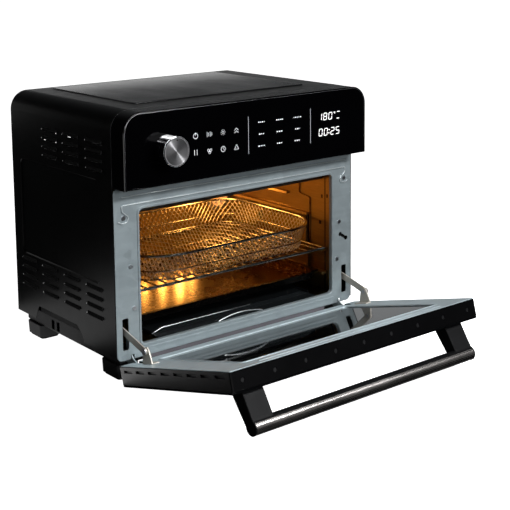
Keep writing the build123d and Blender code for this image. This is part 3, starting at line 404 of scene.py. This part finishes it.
# blackened door-edge screws; stay arms and ears in a warmer passivated zinc
STAY = galvanised("stay_zinc", (0.50, 0.47, 0.42), 0.40, 0.8, 0.55)
BLACK_SCREW = paint("black_screw", (0.004, 0.004, 0.0045), 0.45, 0.3)
# side walls with their flange seam and fixing holes; guide rails with painted shade on their uprights; dark enamelled
# crumb tray
WALL_SHEET = cavity("cavity_side", (0.36, 0.22, 0.07), 0.34, (0.22, 0.12, 0.03), 0.5,
                    ((F + 19.5, 1.1, 128, 84), (F + 30, 2.4, 145, 2.6), (F + 26, 1.6, 184, 2.6), (F + 15, 1.6, 186, 2.6)))
RAIL_SHEET = cavity("guide_rail", (0.36, 0.22, 0.07), 0.30, (0.22, 0.12, 0.03), 0.5, ((F + 53.5, 2.9, 131.6, 21.6),))
CRUMB = galvanised("crumb_enamel", (0.007, 0.0084, 0.0092), 0.34, 0.8, 0.4)
tray_box = [Vector(v) / MM for v in nodes["baking_tray"].bound_box]
TRAY_Y, TRAY_Z = min(v.y for v in tray_box), max(v.z for v in tray_box)
# baking tray: painted shade over its front wall, below the rim
TRAY = cavity("tray_enamel", (0.30, 0.19, 0.06), 0.22, (0.20, 0.11, 0.03), 0.9, ((TRAY_Y + 3.0, 5.5, TRAY_Z - 12.0, 30.0),))
DOOR_SHEET = galvanised("door_sheet", (0.47, 0.55, 0.58))
FOOT = moulded("foot_plastic", (0.016, 0.016, 0.017), 0.5, 0.3)
next(n for n in CRUMB.node_tree.nodes if n.type == "BSDF_PRINCIPLED").inputs["Specular IOR Level"].default_value = 0.12
FRAME = galvanised("frame_sheet", (0.25, 0.29, 0.305))
APRON = paint("pan_paint", (0.010, 0.010, 0.011), 0.5, 0.3, apron=(F + 12.0, (0.115, 0.108, 0.120)))
for name, mat in (("door_screws", BLACK_SCREW), ("hinge_ears", STAY), ("hinge_arm_left", STAY), ("hinge_arm_right", STAY),
                  ("cavity_left_wall", WALL_SHEET), ("cavity_right_wall", WALL_SHEET), ("guide_ribs", RAIL_SHEET), ("crumb_tray", CRUMB),
                  ("front_frame", FRAME), ("base_pan", APRON), ("door_inner_panel", DOOR_SHEET), ("feet", FOOT), ("baking_tray", TRAY)):
    nodes[name].data.materials[0] = mat

# ------------------------------------------------------------------ mesh helpers


def new_object(name, bm, material, body, smooth=True):
    me = bpy.data.meshes.new(name)
    bm.normal_update()
    bm.to_mesh(me)
    bm.free()
    if smooth:
        for p in me.polygons:
            p.use_smooth = True
    me.materials.append(material)
    o = bpy.data.objects.new(name, me)
    scene.collection.objects.link(o)
    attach(o, body)
    return o


def tube(bm, path, radius, sides=6, closed=False):
    """Sweeps a round section along a path of points (metres)."""
    n = len(path)
    rings = []
    up = None
    for i, p in enumerate(path):
        if closed:
            t = (path[(i + 1) % n] - path[i - 1]).normalized()
        else:
            t = (path[min(i + 1, n - 1)] - path[max(i - 1, 0)]).normalized()
        if up is None:
            up = Vector((0, 0, 1)) if abs(t.z) < 0.9 else Vector((1, 0, 0))
        side = t.cross(up).normalized()
        up = side.cross(t).normalized()
        rings.append([bm.verts.new(p + (side * math.cos(a) + up * math.sin(a)) * radius)
                      for a in (2 * math.pi * k / sides for k in range(sides))])
    last = n if closed else n - 1
    for i in range(last):
        a, b = rings[i], rings[(i + 1) % n]
        for k in range(sides):
            bm.faces.new((a[k], a[(k + 1) % sides], b[(k + 1) % sides], b[k]))
    if not closed:
        bm.faces.new(list(reversed(rings[0])))
        bm.faces.new(rings[-1])


def mm(*p):
    return Vector(p) * MM


# ------------------------------------------------------------------ fry basket: diamond wire mesh on a round-cornered rim
YM = F + 117.5                    # middle of the basket along Y
FLOOR_X, FLOOR_Y, FLOOR_F, FLOOR_B, FLOOR_Z = 145.5, 102.0, 57.0, 25.0, 116.4
RIM_X, RIM_Y, RIM_F, RIM_B, RIM_Z = 155.2, 111.7, 67.0, 35.0, 150.2


def outline(u, hx, hy, rf, rb):
    """A point of a rectangle with front corners of radius rf and rear ones of radius rb, u from 0 to 1 once round."""
    side, back, front = 2 * hy - rf - rb, 2 * (hx - rb), 2 * (hx - rf)
    runs = (
        (side, (hx, rf - hy), (0, 1), hx - rb, hy - rb, rb, 0),
        (back, (hx - rb, hy), (-1, 0), rb - hx, hy - rb, rb, 90),
        (side, (-hx, hy - rb), (0, -1), rf - hx, rf - hy, rf, 180),
        (front, (rf - hx, -hy), (1, 0), hx - rf, rf - hy, rf, 270),
    )
    d = (u % 1.0) * sum(r[0] + math.pi / 2 * r[5] for r in runs)
    for length, start, step, cx, cy, r, a0 in runs:
        if d <= length:
            return start[0] + step[0] * d, start[1] + step[1] * d
        d -= length
        arc = math.pi / 2 * r
        if d <= arc:
            a = math.radians(a0) + d / r
            return cx + r * math.cos(a), cy + r * math.sin(a)
        d -= arc
    return hx, rf - hy


def wall(u, f, out=0.0):
    """A point of the sloping wall: u round it, f from its foot (0) to the rim (1)."""
    def at(a, b):
        return a + (b - a) * f
    x, y = outline(u, at(FLOOR_X, RIM_X) + out, at(FLOOR_Y, RIM_Y) + out, at(FLOOR_F, RIM_F) + out, at(FLOOR_B, RIM_B) + out)
    return mm(x, YM + y, at(FLOOR_Z, RIM_Z))


def ring(f, out=0.0, n=128):
    return [wall(k / n, f, out) for k in range(n)]


def on_floor(x, y):
    """Whether a point lies within the outline of the floor."""
    hx, hy = FLOOR_X, FLOOR_Y
    if abs(x) > hx or abs(y) > hy:
        return False
    r = FLOOR_F if y < 0 else FLOOR_B
    dx, dy = abs(x) - (hx - r), abs(y) - (hy - r)
    return dx <= 0 or dy <= 0 or dx * dx + dy * dy <= r * r


bm = bmesh.new()
# wall: two sets of crossing wires
WIRES, TURN, STEPS = 124, 0.030, 8
for k in range(WIRES):
    for way in (-1, 1):
        tube(bm, [wall(k / WIRES + way * TURN * (i / STEPS - 0.5), i / STEPS, 0.4 * way) for i in range(STEPS + 1)], 0.62 * MM, 5)
# floor: the same mesh drawn out from front to back
LEAN, PITCH_X = math.tan(math.radians(29)), 5.5
for way in (-1, 1):
    for i in range(-48, 49, 1 if way > 0 else 4):
        pts = []
        for j in range(-68, 69):
            y = j * 1.5
            x = i * PITCH_X + way * LEAN * y
            if on_floor(x, y):
                pts.append(mm(x, YM + y, FLOOR_Z + 0.45 * way + 0.3))
        if len(pts) > 2:
            tube(bm, pts[::6] + ([pts[-1]] if (len(pts) - 1) % 6 else []), 0.55 * MM, 5)
mesh = new_object("basket_mesh", bm, M["basket_steel"], "fry_basket")

bm = bmesh.new()
tube(bm, ring(1.0), 1.8 * MM, 10, True)
tube(bm, ring(0.36, 1.0), 1.0 * MM, 6, True)
tube(bm, ring(0.0), 1.1 * MM, 8, True)
rim = new_object("basket_rim", bm, M["rack_chrome"], "fry_basket")
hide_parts("fry_basket")

# ------------------------------------------------------------------ crumb tray: pale metal tubes along its folded edges, painted highlights
bm = bmesh.new()
tube(bm, [mm(x, F + 20.0, z) for x, z in ((-134.2, 48.2), (-126, 51.0), (-118, 53.6), (-60, 53.7), (-20, 53.7), (28, 53.7))], 0.7 * MM, 8)
tube(bm, [mm(38.0 * t, F + 4.6, 47.9 + 5.2 * (1 - t * t)) for t in (k / 12 for k in range(-12, 13))], 0.75 * MM, 8)
EDGE_HIGHLIGHT_METAL = plated("edge_painted_highlight", (0.80, 0.83, 0.85), 0.34)
new_object("crumb_edges", bm, EDGE_HIGHLIGHT_METAL, "crumb_tray")

# ------------------------------------------------------------------ baking tray: a pale metal tube along the front rim, a painted highlight
bm = bmesh.new()
tube(bm, [mm(x, TRAY_Y + 1.0, TRAY_Z - 0.5) for x in (-138, -100, -60, -20, 6)], 0.5 * MM, 8)
TRAY_RIM_HIGHLIGHT = plated("tray_rim_painted_highlight", (0.62, 0.40, 0.16), 0.34)
tray_edge = new_object("tray_edge", bm, TRAY_RIM_HIGHLIGHT, "baking_tray")

# ------------------------------------------------------------------ louvre ends: pale metal beads at the rear tips, painted highlights
bm = bmesh.new()
LOUVRE_TIP_HIGHLIGHT = galvanised("louvre_tip_painted_highlight", (0.85, 0.85, 0.86), 0.30, 0.7, 0.6)
for cols, rows_z in (((39.5, 96.5, 151.5), (268.5, 280.2, 291.9, 303.6)), ((47.0, 103.5, 161.0, 218.0), (78.5, 90.8, 103.1, 115.4))):
    for yc in cols:
        for z in rows_z:
            for side in (-1, 1):
                x = side * 200.8
                tube(bm, [mm(x, F + yc + 18.8, z + 2.0), mm(x + side * 0.3, F + yc + 19.8, z + 1.6), mm(x - side * 0.3, F + yc + 20.8, z + 1.0)], 0.7 * MM, 6)
louvre_ends = new_object("louvre_ends", bm, LOUVRE_TIP_HIGHLIGHT, "casing")

# ------------------------------------------------------------------ frame's pressed beads and the block's edges: pale tubes along them as painted highlights


def rounded(points, r, n=6):
    """A path in x and z with its corners rounded."""
    out = [Vector(points[0])]
    for a, b, c in zip(points, points[1:], points[2:]):
        a, b, c = Vector(a), Vector(b), Vector(c)
        u, v = (a - b), (c - b)
        d = min(r, u.length * 0.45, v.length * 0.45)
        p0, p1 = b + u.normalized() * d, b + v.normalized() * d
        for k in range(n + 1):
            t = k / n
            out.append(p0 * (1 - t) ** 2 + b * (2 * t * (1 - t)) + p1 * t ** 2)
    out.append(Vector(points[-1]))
    return out


HOOK = [(-193, 209.2), (-187.5, 205.8), (-179.2, 207.4), (-177.6, 213.6), (-186.6, 220.6), (-187.4, 228.4)]
bm = bmesh.new()
path = HOOK + [(-x, z) for x, z in reversed(HOOK)]
tube(bm, [mm(q.x, F - 0.55, q.y + 0.25) for q in rounded(path, 2.4)], 0.5 * MM, 8)
tube(bm, [mm(x, F - 0.55, 239.2) for x in (-187, -90, 0, 90, 187)], 0.48 * MM, 8)
BEAD_HIGHLIGHT = galvanised("bead_painted_highlight", (0.60, 0.64, 0.65), 0.30, 0.85, 0.6)
new_object("frame_beads", bm, BEAD_HIGHLIGHT, "casing")

bm = bmesh.new()


def arch(w, z0, z1, r, n=10):
    pts = [(-w / 2, z0), (-w / 2, z0 + (z1 - r - z0) / 2)]
    pts += [(-w / 2 + r - r * math.cos(a), z1 - r + r * math.sin(a)) for a in (math.pi / 2 * k / n for k in range(n + 1))]
    return pts + [(-x, z) for x, z in reversed(pts)]


# pale tubes along the glass and housing edges: painted highlights
tube(bm, [mm(x, F - T_PANEL + 0.30, z) for x, z in arch(W - 4.0, Z_PANEL + 2.1, Z_TOP - 2.0, R_TOP - 2.0)], 0.42 * MM, 6)
tube(bm, [mm(x, F - 0.35, z) for x, z in arch(W - 0.4, Z_PANEL + 0.5, Z_TOP - 0.2, R_TOP - 0.2)], 0.32 * MM, 6)
PANEL_EDGE_HIGHLIGHT = plated("panel_edge_painted_highlight", (0.20, 0.20, 0.21), 0.36)
new_object("panel_edges", bm, PANEL_EDGE_HIGHLIGHT, "casing")

# a pale ring at the turned edge of the knob's face, a painted highlight
bm = bmesh.new()
tube(bm, [mm(KX + 18.7 * math.cos(a), F - T_PANEL - 21.0, KZ + 18.7 * math.sin(a)) for a in (2 * math.pi * k / 72 for k in range(72))], 0.26 * MM, 8, True)
new_object("knob_ring", bm, EDGE_HIGHLIGHT_METAL, "knob")

# ------------------------------------------------------------------ control glass: lit numerals and plain marks
LIT = glow("display_digits", (1.0, 1.0, 1.0), 1.2)
MARK = glow("panel_marks", (0.86, 0.88, 0.92), 0.30)
YD = (Y_GLASS - 0.06)


def bar(bm, x0, z0, x1, z1, w):
    """A flat pointed bar between two points on the glass."""
    a, b = Vector((x0, z0)), Vector((x1, z1))
    t = (b - a).normalized()
    n = Vector((-t.y, t.x)) * (w / 2)
    pts = [a, a + t * (w / 2) + n, b - t * (w / 2) + n, b, b - t * (w / 2) - n, a + t * (w / 2) - n]
    bm.faces.new([bm.verts.new(mm(p.x, YD, p.y)) for p in pts])


SEG = {"0": "abcdef", "1": "bc", "2": "abged", "3": "abgcd", "5": "afgcd", "6": "afgedc", "8": "abcdefg"}


def digit(bm, ch, x, z, w, h, t, slant=0.10):
    pts = {"a": ((0, h), (w, h)), "b": ((w, h), (w, h / 2)), "c": ((w, h / 2), (w, 0)), "d": ((0, 0), (w, 0)),
           "e": ((0, h / 2), (0, 0)), "f": ((0, h), (0, h / 2)), "g": ((0, h / 2), (w, h / 2))}
    for s in SEG[ch]:
        (x0, z0), (x1, z1) = pts[s]
        d = Vector((x1 - x0, z1 - z0)).normalized() * 0.25
        bar(bm, x + x0 + slant * z0 + d.x, z + z0 + d.y, x + x1 + slant * z1 - d.x, z + z1 - d.y, t)


def disc(bm, x, z, r, inner=0.0, seg=20):
    outer = [bm.verts.new(mm(x + r * math.cos(2 * math.pi * k / seg), YD, z + r * math.sin(2 * math.pi * k / seg))) for k in range(seg)]
    if not inner:
        bm.faces.new(outer)
        return
    ring = [bm.verts.new(mm(x + inner * math.cos(2 * math.pi * k / seg), YD, z + inner * math.sin(2 * math.pi * k / seg))) for k in range(seg)]
    for k in range(seg):
        bm.faces.new((outer[k], outer[(k + 1) % seg], ring[(k + 1) % seg], ring[k]))


bm = bmesh.new()
for ch, x in zip("180", (111.2, 120.6, 130.0)):
    digit(bm, ch, x, 306.2, 5.6, 9.2, 0.78)
disc(bm, 141.0, 314.6, 1.2, 0.6)
bar(bm, 145.6, 315.4, 151.0, 315.4, 0.78)
bar(bm, 144.7, 306.2, 150.1, 306.2, 0.78)
for ch, x in zip("0025", (112.2, 121.6, 134.0, 143.4)):
    digit(bm, ch, x, 284.8, 5.6, 9.4, 0.78)
disc(bm, 130.6, 287.4, 0.8)
disc(bm, 131.1, 291.8, 0.8)
new_object("display_digits", bm, LIT, "casing", smooth=False)

bm = bmesh.new()
rows = (308.5, 287.0)
cols = (-94.2, -72.7, -51.2, -29.7)
# upper row: ring with a stroke, four bars, tri-bar sun, chevron; lower row: twin arches, fan dots, ring with hands, wedge
x, z = cols[0], rows[0]
disc(bm, x, z, 3.6, 3.12); bar(bm, x, z + 0.6, x, z + 4.6, 0.52)
x = cols[1]
for k in range(4):
    bar(bm, x - 3.6 + 2.4 * k, z - 3.2 + 0.9 * (k % 2), x - 3.6 + 2.4 * k, z + 3.2 - 0.9 * (k % 2), 0.46)
x = cols[2]
disc(bm, x, z, 1.7, 1.28)
for k in range(8):
    a = math.pi / 4 * k
    bar(bm, x + 2.6 * math.cos(a), z + 2.6 * math.sin(a), x + 3.9 * math.cos(a), z + 3.9 * math.sin(a), 0.42)
x = cols[3]
for k in (-1.7, 1.7):
    bar(bm, x - 3.2, z + k - 1.4, x, z + k + 1.4, 0.46); bar(bm, x, z + k + 1.4, x + 3.2, z + k - 1.4, 0.46)
x, z = cols[0], rows[1]
for k in (-2.0, 2.0):
    bar(bm, x + k, z - 3.0, x + k, z + 3.0, 0.52)
    disc(bm, x + k, z + 3.4, 0.52)
x = cols[1]
for k in range(3):
    a = 2 * math.pi * k / 3 + 0.5
    disc(bm, x + 2.2 * math.cos(a), z + 2.2 * math.sin(a), 1.7, 1.28)
disc(bm, x, z, 0.46)
x = cols[2]
disc(bm, x, z, 3.6, 3.12); bar(bm, x, z, x, z + 2.6, 0.42); bar(bm, x, z, x + 2.0, z - 0.8, 0.42)
x = cols[3]
bar(bm, x - 3.4, z - 2.8, x, z + 3.2, 0.46); bar(bm, x, z + 3.2, x + 3.4, z - 2.8, 0.46); bar(bm, x - 3.4, z - 2.8, x + 3.4, z - 2.8, 0.46)
# label places: short plain dashes
rnd = random.Random(7)
for z, widths in ((315.1, (11, 12.5, 13.5)), (299.4, (9.5, 11.5, 8.5)), (283.7, (12.0, 10.0, 11.0))):
    for x, wdt in zip((11.9, 42.8, 73.7), widths):
        a = x - wdt / 2
        while a < x + wdt / 2 - 0.8:
            b = min(a + rnd.uniform(1.6, 3.4), x + wdt / 2)
            bar(bm, a, z, b, z, 1.5)
            a = b + 0.9
new_object("panel_marks", bm, MARK, "casing", smooth=False)

bm = bmesh.new()
for x, z0, z1 in ((-10.0, 275.5, 324), (97.0, 276.5, 324.4)):
    bar(bm, x, z0, x, z1, 0.5)
DIM = glow("panel_dividers", (0.42, 0.44, 0.48), 0.25)
new_object("panel_dividers", bm, DIM, "casing", smooth=False)

# marker dot on the knob face
bm = bmesh.new()
bmesh.ops.create_uvsphere(bm, u_segments=14, v_segments=8, radius=1.0 * MM)
for v in bm.verts:
    v.co.y *= 0.35
bmesh.ops.translate(bm, verts=bm.verts, vec=mm(KX + 1.0, F - T_PANEL - 21.3, KZ + 14.0))
knob_dot = new_object("knob_dot", bm, M["dark_plastic"], "knob")

# ------------------------------------------------------------------ floor, light and camera
bm = bmesh.new()
bmesh.ops.create_grid(bm, x_segments=2, y_segments=2, size=30)
me = bpy.data.meshes.new("floor")
bm.to_mesh(me)
bm.free()
floor = bpy.data.objects.new("floor", me)
scene.collection.objects.link(floor)
fm = Tree("floor_white")
fm.color(fm.ramp(fm.noise(3, 2), (0.3, (0.90, 0.90, 0.90)), (0.7, (0.93, 0.93, 0.93))))
fm.set(Roughness=0.9, Specular_IOR_Level=0.1, Emission_Color=(1, 1, 1, 1), Emission_Strength=1.08)
me.materials.append(fm.mat)
floor.visible_diffuse = False
floor.visible_glossy = False

# The room: white behind the object; in reflections dark, with one pale backdrop low behind it on the right.
world = bpy.data.worlds.new("studio")
scene.world = world
world.use_nodes = True
wt = world.node_tree
wt.nodes.clear()


def wnode(kind, **kw):
    n = wt.nodes.new(kind)
    for k, v in kw.items():
        setattr(n, k, v)
    return n


def wrange(value, a, b, lo, hi):
    n = wnode("ShaderNodeMapRange", interpolation_type="SMOOTHSTEP")
    for key, v in (("From Min", a), ("From Max", b), ("To Min", lo), ("To Max", hi)):
        n.inputs[key].default_value = v
    wt.links.new(value, n.inputs["Value"])
    return n.outputs["Result"]


def wmath(op, a, b):
    n = wnode("ShaderNodeMath", operation=op)
    for i, v in enumerate((a, b)):
        if isinstance(v, (int, float)):
            n.inputs[i].default_value = v
        else:
            wt.links.new(v, n.inputs[i])
    return n.outputs[0]


way = wnode("ShaderNodeTexCoord").outputs["Generated"]
parts = wnode("ShaderNodeSeparateXYZ")
wt.links.new(way, parts.inputs[0])
dot = wnode("ShaderNodeVectorMath", operation="DOT_PRODUCT")
wt.links.new(way, dot.inputs[0])
dot.inputs[1].default_value = (0.62, 0.785, 0.0)
sector = wrange(dot.outputs["Value"], 0.45, 0.95, 0.0, 1.0)
low = wrange(parts.outputs[2], -0.45, -0.05, 0.10, 0.36)
high = wrange(parts.outputs[2], -0.02, 0.11, 1.0, 0.20)
backdrop = wmath("MULTIPLY", sector, wmath("MULTIPLY", low, high))
level = wmath("ADD", backdrop, 0.004)
w_out = wnode("ShaderNodeOutputWorld")
w_mix = wnode("ShaderNodeMixShader")
w_path = wnode("ShaderNodeLightPath")
w_cam = wnode("ShaderNodeBackground")
w_cam.inputs["Color"].default_value = (1, 1, 1, 1)
w_cam.inputs["Strength"].default_value = 1.1
w_env = wnode("ShaderNodeBackground")
w_env.inputs["Color"].default_value = (0.95, 0.98, 1.0, 1)
wt.links.new(level, w_env.inputs["Strength"])
wt.links.new(w_path.outputs["Is Camera Ray"], w_mix.inputs[0])
wt.links.new(w_env.outputs[0], w_mix.inputs[1])
wt.links.new(w_cam.outputs[0], w_mix.inputs[2])
wt.links.new(w_mix.outputs[0], w_out.inputs["Surface"])


def area(name, loc, target, size, power, color=(1, 1, 1), size_y=None):
    d = bpy.data.lights.new(name, "AREA")
    d.energy = power
    d.color = color
    d.size = size
    if size_y:
        d.shape = "RECTANGLE"
        d.size_y = size_y
    o = bpy.data.objects.new(name, d)
    scene.collection.objects.link(o)
    o.location = loc
    o.rotation_mode = "QUATERNION"
    o.rotation_quaternion = (Vector(target) - Vector(loc)).to_track_quat("-Z", "Y")
    o.visible_camera = False
    return o


front = [
    area("front_low", (-0.4, -2.3, 0.75), (0, -0.1, 0.15), 0.8, 25, (0.98, 0.99, 1.0), 0.5),
    area("front_top", (0.25, -1.9, 1.45), (0, -0.1, 0.15), 2.0, 64, (0.98, 0.99, 1.0), 0.25),
    area("edge", (-1.34, -0.94, 0.02), (-0.2, -0.04, 0.3), 0.5, 1.2, (1, 1, 1)),
]
around = [
    area("strip_top", (0.0, -0.45, 1.6), (0, -0.15, 0.1), 1.3, 9, (1, 1, 1), 0.22),
    area("card_left", (-0.32, 0.25, 0.001), (-0.32, 0.25, 1.0), 0.8, 0.33, (1, 1, 1), 0.22),
    area("left_rear", (-0.75, 1.3, 0.95), (-0.2, 0.1, 0.12), 0.45, 0.8, (1, 1, 1)),
    area("card_back", (0.25, 0.62, 0.33), (0.25, -1.0, 0.33), 1.2, 0.4, (1, 1, 1), 0.16),
]
right_key = area("right_key", (2.0, -0.5, 1.0), (0.2, 0.0, 0.17), 1.0, 60, (1, 1, 1), 0.6)
rear_key = area("rear_key", (0.9, 2.1, 1.1), (0.0, 0.25, 0.17), 1.0, 60, (1, 1, 1), 0.6)
card_right = area("card_right", (0.40, 0.10, 0.001), (0.40, 0.10, 1.0), 0.36, 1.8, (1, 1, 1), 0.9)
card_rear = area("card_rear", (0.0, 0.47, 0.001), (0.0, 0.47, 1.0), 0.9, 1.8, (1, 1, 1), 0.36)
glass_card = area("glass_card", (0.56, -1.68, 0.96), (-0.138, -0.04, 0.297), 0.9, 60, (1, 1, 1), 0.9)
door_card = area("door_card", (-0.31, 0.12, 0.001), (-0.31, 0.12, 1.0), 0.25, 1.0, (1, 1, 1), 0.25)
tip_card = area("tip_card", (-1.3, -1.0, 0.6), (-0.2, 0.1, 0.2), 0.5, 14, (1, 1, 1))
knob_lights = [
    area("knob_key", (0.06, -1.85, 1.1), (-0.138, -0.06, 0.297), 0.22, 15, (1, 1, 1), 0.22),
    area("knob_fill", (0.3, -2.6, 0.9), (-0.138, -0.06, 0.297), 3.0, 10, (1, 1, 1), 3.0),
]


def bulb(name, loc, power, radius, color, aim=None, cone=60, blend=0.6):
    d = bpy.data.lights.new(name, "SPOT" if aim else "POINT")
    d.energy = power
    d.color = color
    d.shadow_soft_size = radius
    o = bpy.data.objects.new(name, d)
    scene.collection.objects.link(o)
    o.location = mm(*loc)
    if aim:
        d.spot_size, d.spot_blend = math.radians(cone), blend
        o.rotation_mode = "QUATERNION"
        o.rotation_quaternion = (mm(*aim) - mm(*loc)).to_track_quat("-Z", "Y")
    o.visible_camera = False
    return o


AMBER = (1.0, 0.45, 0.09)
lamp = bulb("oven_lamp", (96, F + 200, 172), 0.26, 0.012, AMBER)
fill = bulb("oven_fill", (-118, F + 200, 176), 0.06, 0.012, AMBER)
wash = bulb("wall_wash", (-120, F + 110, 190), 1.7, 0.02, AMBER, (156, F + 96, 204), 54, 0.9)
back = bulb("back_wash", (-60, F + 90, 196), 1.7, 0.02, AMBER)
rim_warm = bulb("tray_edge_light", (-60, F - 60, 150), 0.12, 0.02, AMBER)
rim_warm.data.use_shadow = False
glint = [bulb("rim_glint_%d" % k, q, w, 0.03, AMBER) for k, (q, w) in enumerate((((108, F + 190, 194), 0.5), ((150, F + 330, 230), 1.6), ((60, F + 420, 260), 2.2)))]
for li in glint:
    li.data.use_shadow = False
sparks = [bulb("tray_spark_%d" % k, (x, F + 228, 104), w, 0.004, AMBER, (x - 80, F + 126, 62), 70, 0.8)
          for k, (x, w) in enumerate(((-8, 0.05), (24, 0.08), (56, 0.16), (78, 0.05)))]


# The oven's own light stays on the cavity and what stands in it; the studio lights stay off the cavity.
def only_on(lights, names):
    group = bpy.data.collections.new(lights[0].name + "_lit")
    for n in names:
        group.objects.link(n if not isinstance(n, str) else nodes[n])
    for li in lights:
        li.light_linking.receiver_collection = group
    return group


INSIDE = ["cavity_left_wall", "cavity_right_wall", "cavity_back_wall", "cavity_roof", "cavity_floor", "guide_ribs", "heater_tubes",
          "heater_insulators", "baking_tray", "fan_guard", "hot_fan", "lamp_housing", "lamp_lens", "spit_socket", "temperature_probe", mesh]
ON_WALLS = ["cavity_right_wall", "cavity_back_wall", "cavity_floor", "guide_ribs", "lamp_housing", "spit_socket", "temperature_probe"]
only_on([back], ["cavity_back_wall", "lamp_housing"])
only_on([glass_card], ["control_glass"])
only_on([right_key, card_right], ["outer_shell", "carry_grips"])
only_on([rear_key, card_rear], ["rear_cover", "rear_screws", "cord_gland"])
only_on([tip_card], [louvre_ends])
only_on([door_card], ["door_housing"])
only_on([lamp, fill], [n for n in INSIDE if n not in ON_WALLS + ["baking_tray"]] + ["guide_ribs", "wire_rack", rim])
only_on([wash], [n for n in ON_WALLS if n != "cavity_back_wall"])
only_on(glint, ["wire_rack", rim])
only_on(sparks, ["baking_tray"])
only_on([rim_warm], [tray_edge])
only_on(knob_lights, ["knob", knob_dot])
for lights, names in ((front, INSIDE + ["knob", knob_dot, "wire_rack", rim, tray_edge]), (around[:1] + around[2:3], INSIDE + ["outer_shell", "control_housing"]),
                      (around[1:2] + around[3:], INSIDE)):
    for link in only_on(lights, names).collection_objects:
        link.light_linking.link_state = "EXCLUDE"

# camera at the photograph's viewing angle
YAW, PITCH, ROLL = 0.6767, 0.1371, 0.0101
fwd = Vector((math.sin(YAW) * math.cos(PITCH), math.cos(YAW) * math.cos(PITCH), -math.sin(PITCH)))
right = Vector((math.cos(YAW), -math.sin(YAW), 0))
down = fwd.cross(right)
c, s = math.cos(ROLL), math.sin(ROLL)
right2, down2 = right * c + down * s, down * c - right * s
cam_data = bpy.data.cameras.new("camera")
cam_data.sensor_width = 36.0
cam_data.lens = 80.886
cam_data.shift_y = -0.3039
cam_data.clip_start = 0.05
cam_data.clip_end = 100
cam = bpy.data.objects.new("camera", cam_data)
scene.collection.objects.link(cam)
rot = Matrix((right2, -down2, -fwd)).transposed()
cam.matrix_world = Matrix.Translation(mm(-918.25, -1181.32, 547.55)) @ rot.to_4x4()
scene.camera = cam
scene.view_settings.view_transform = "Standard"
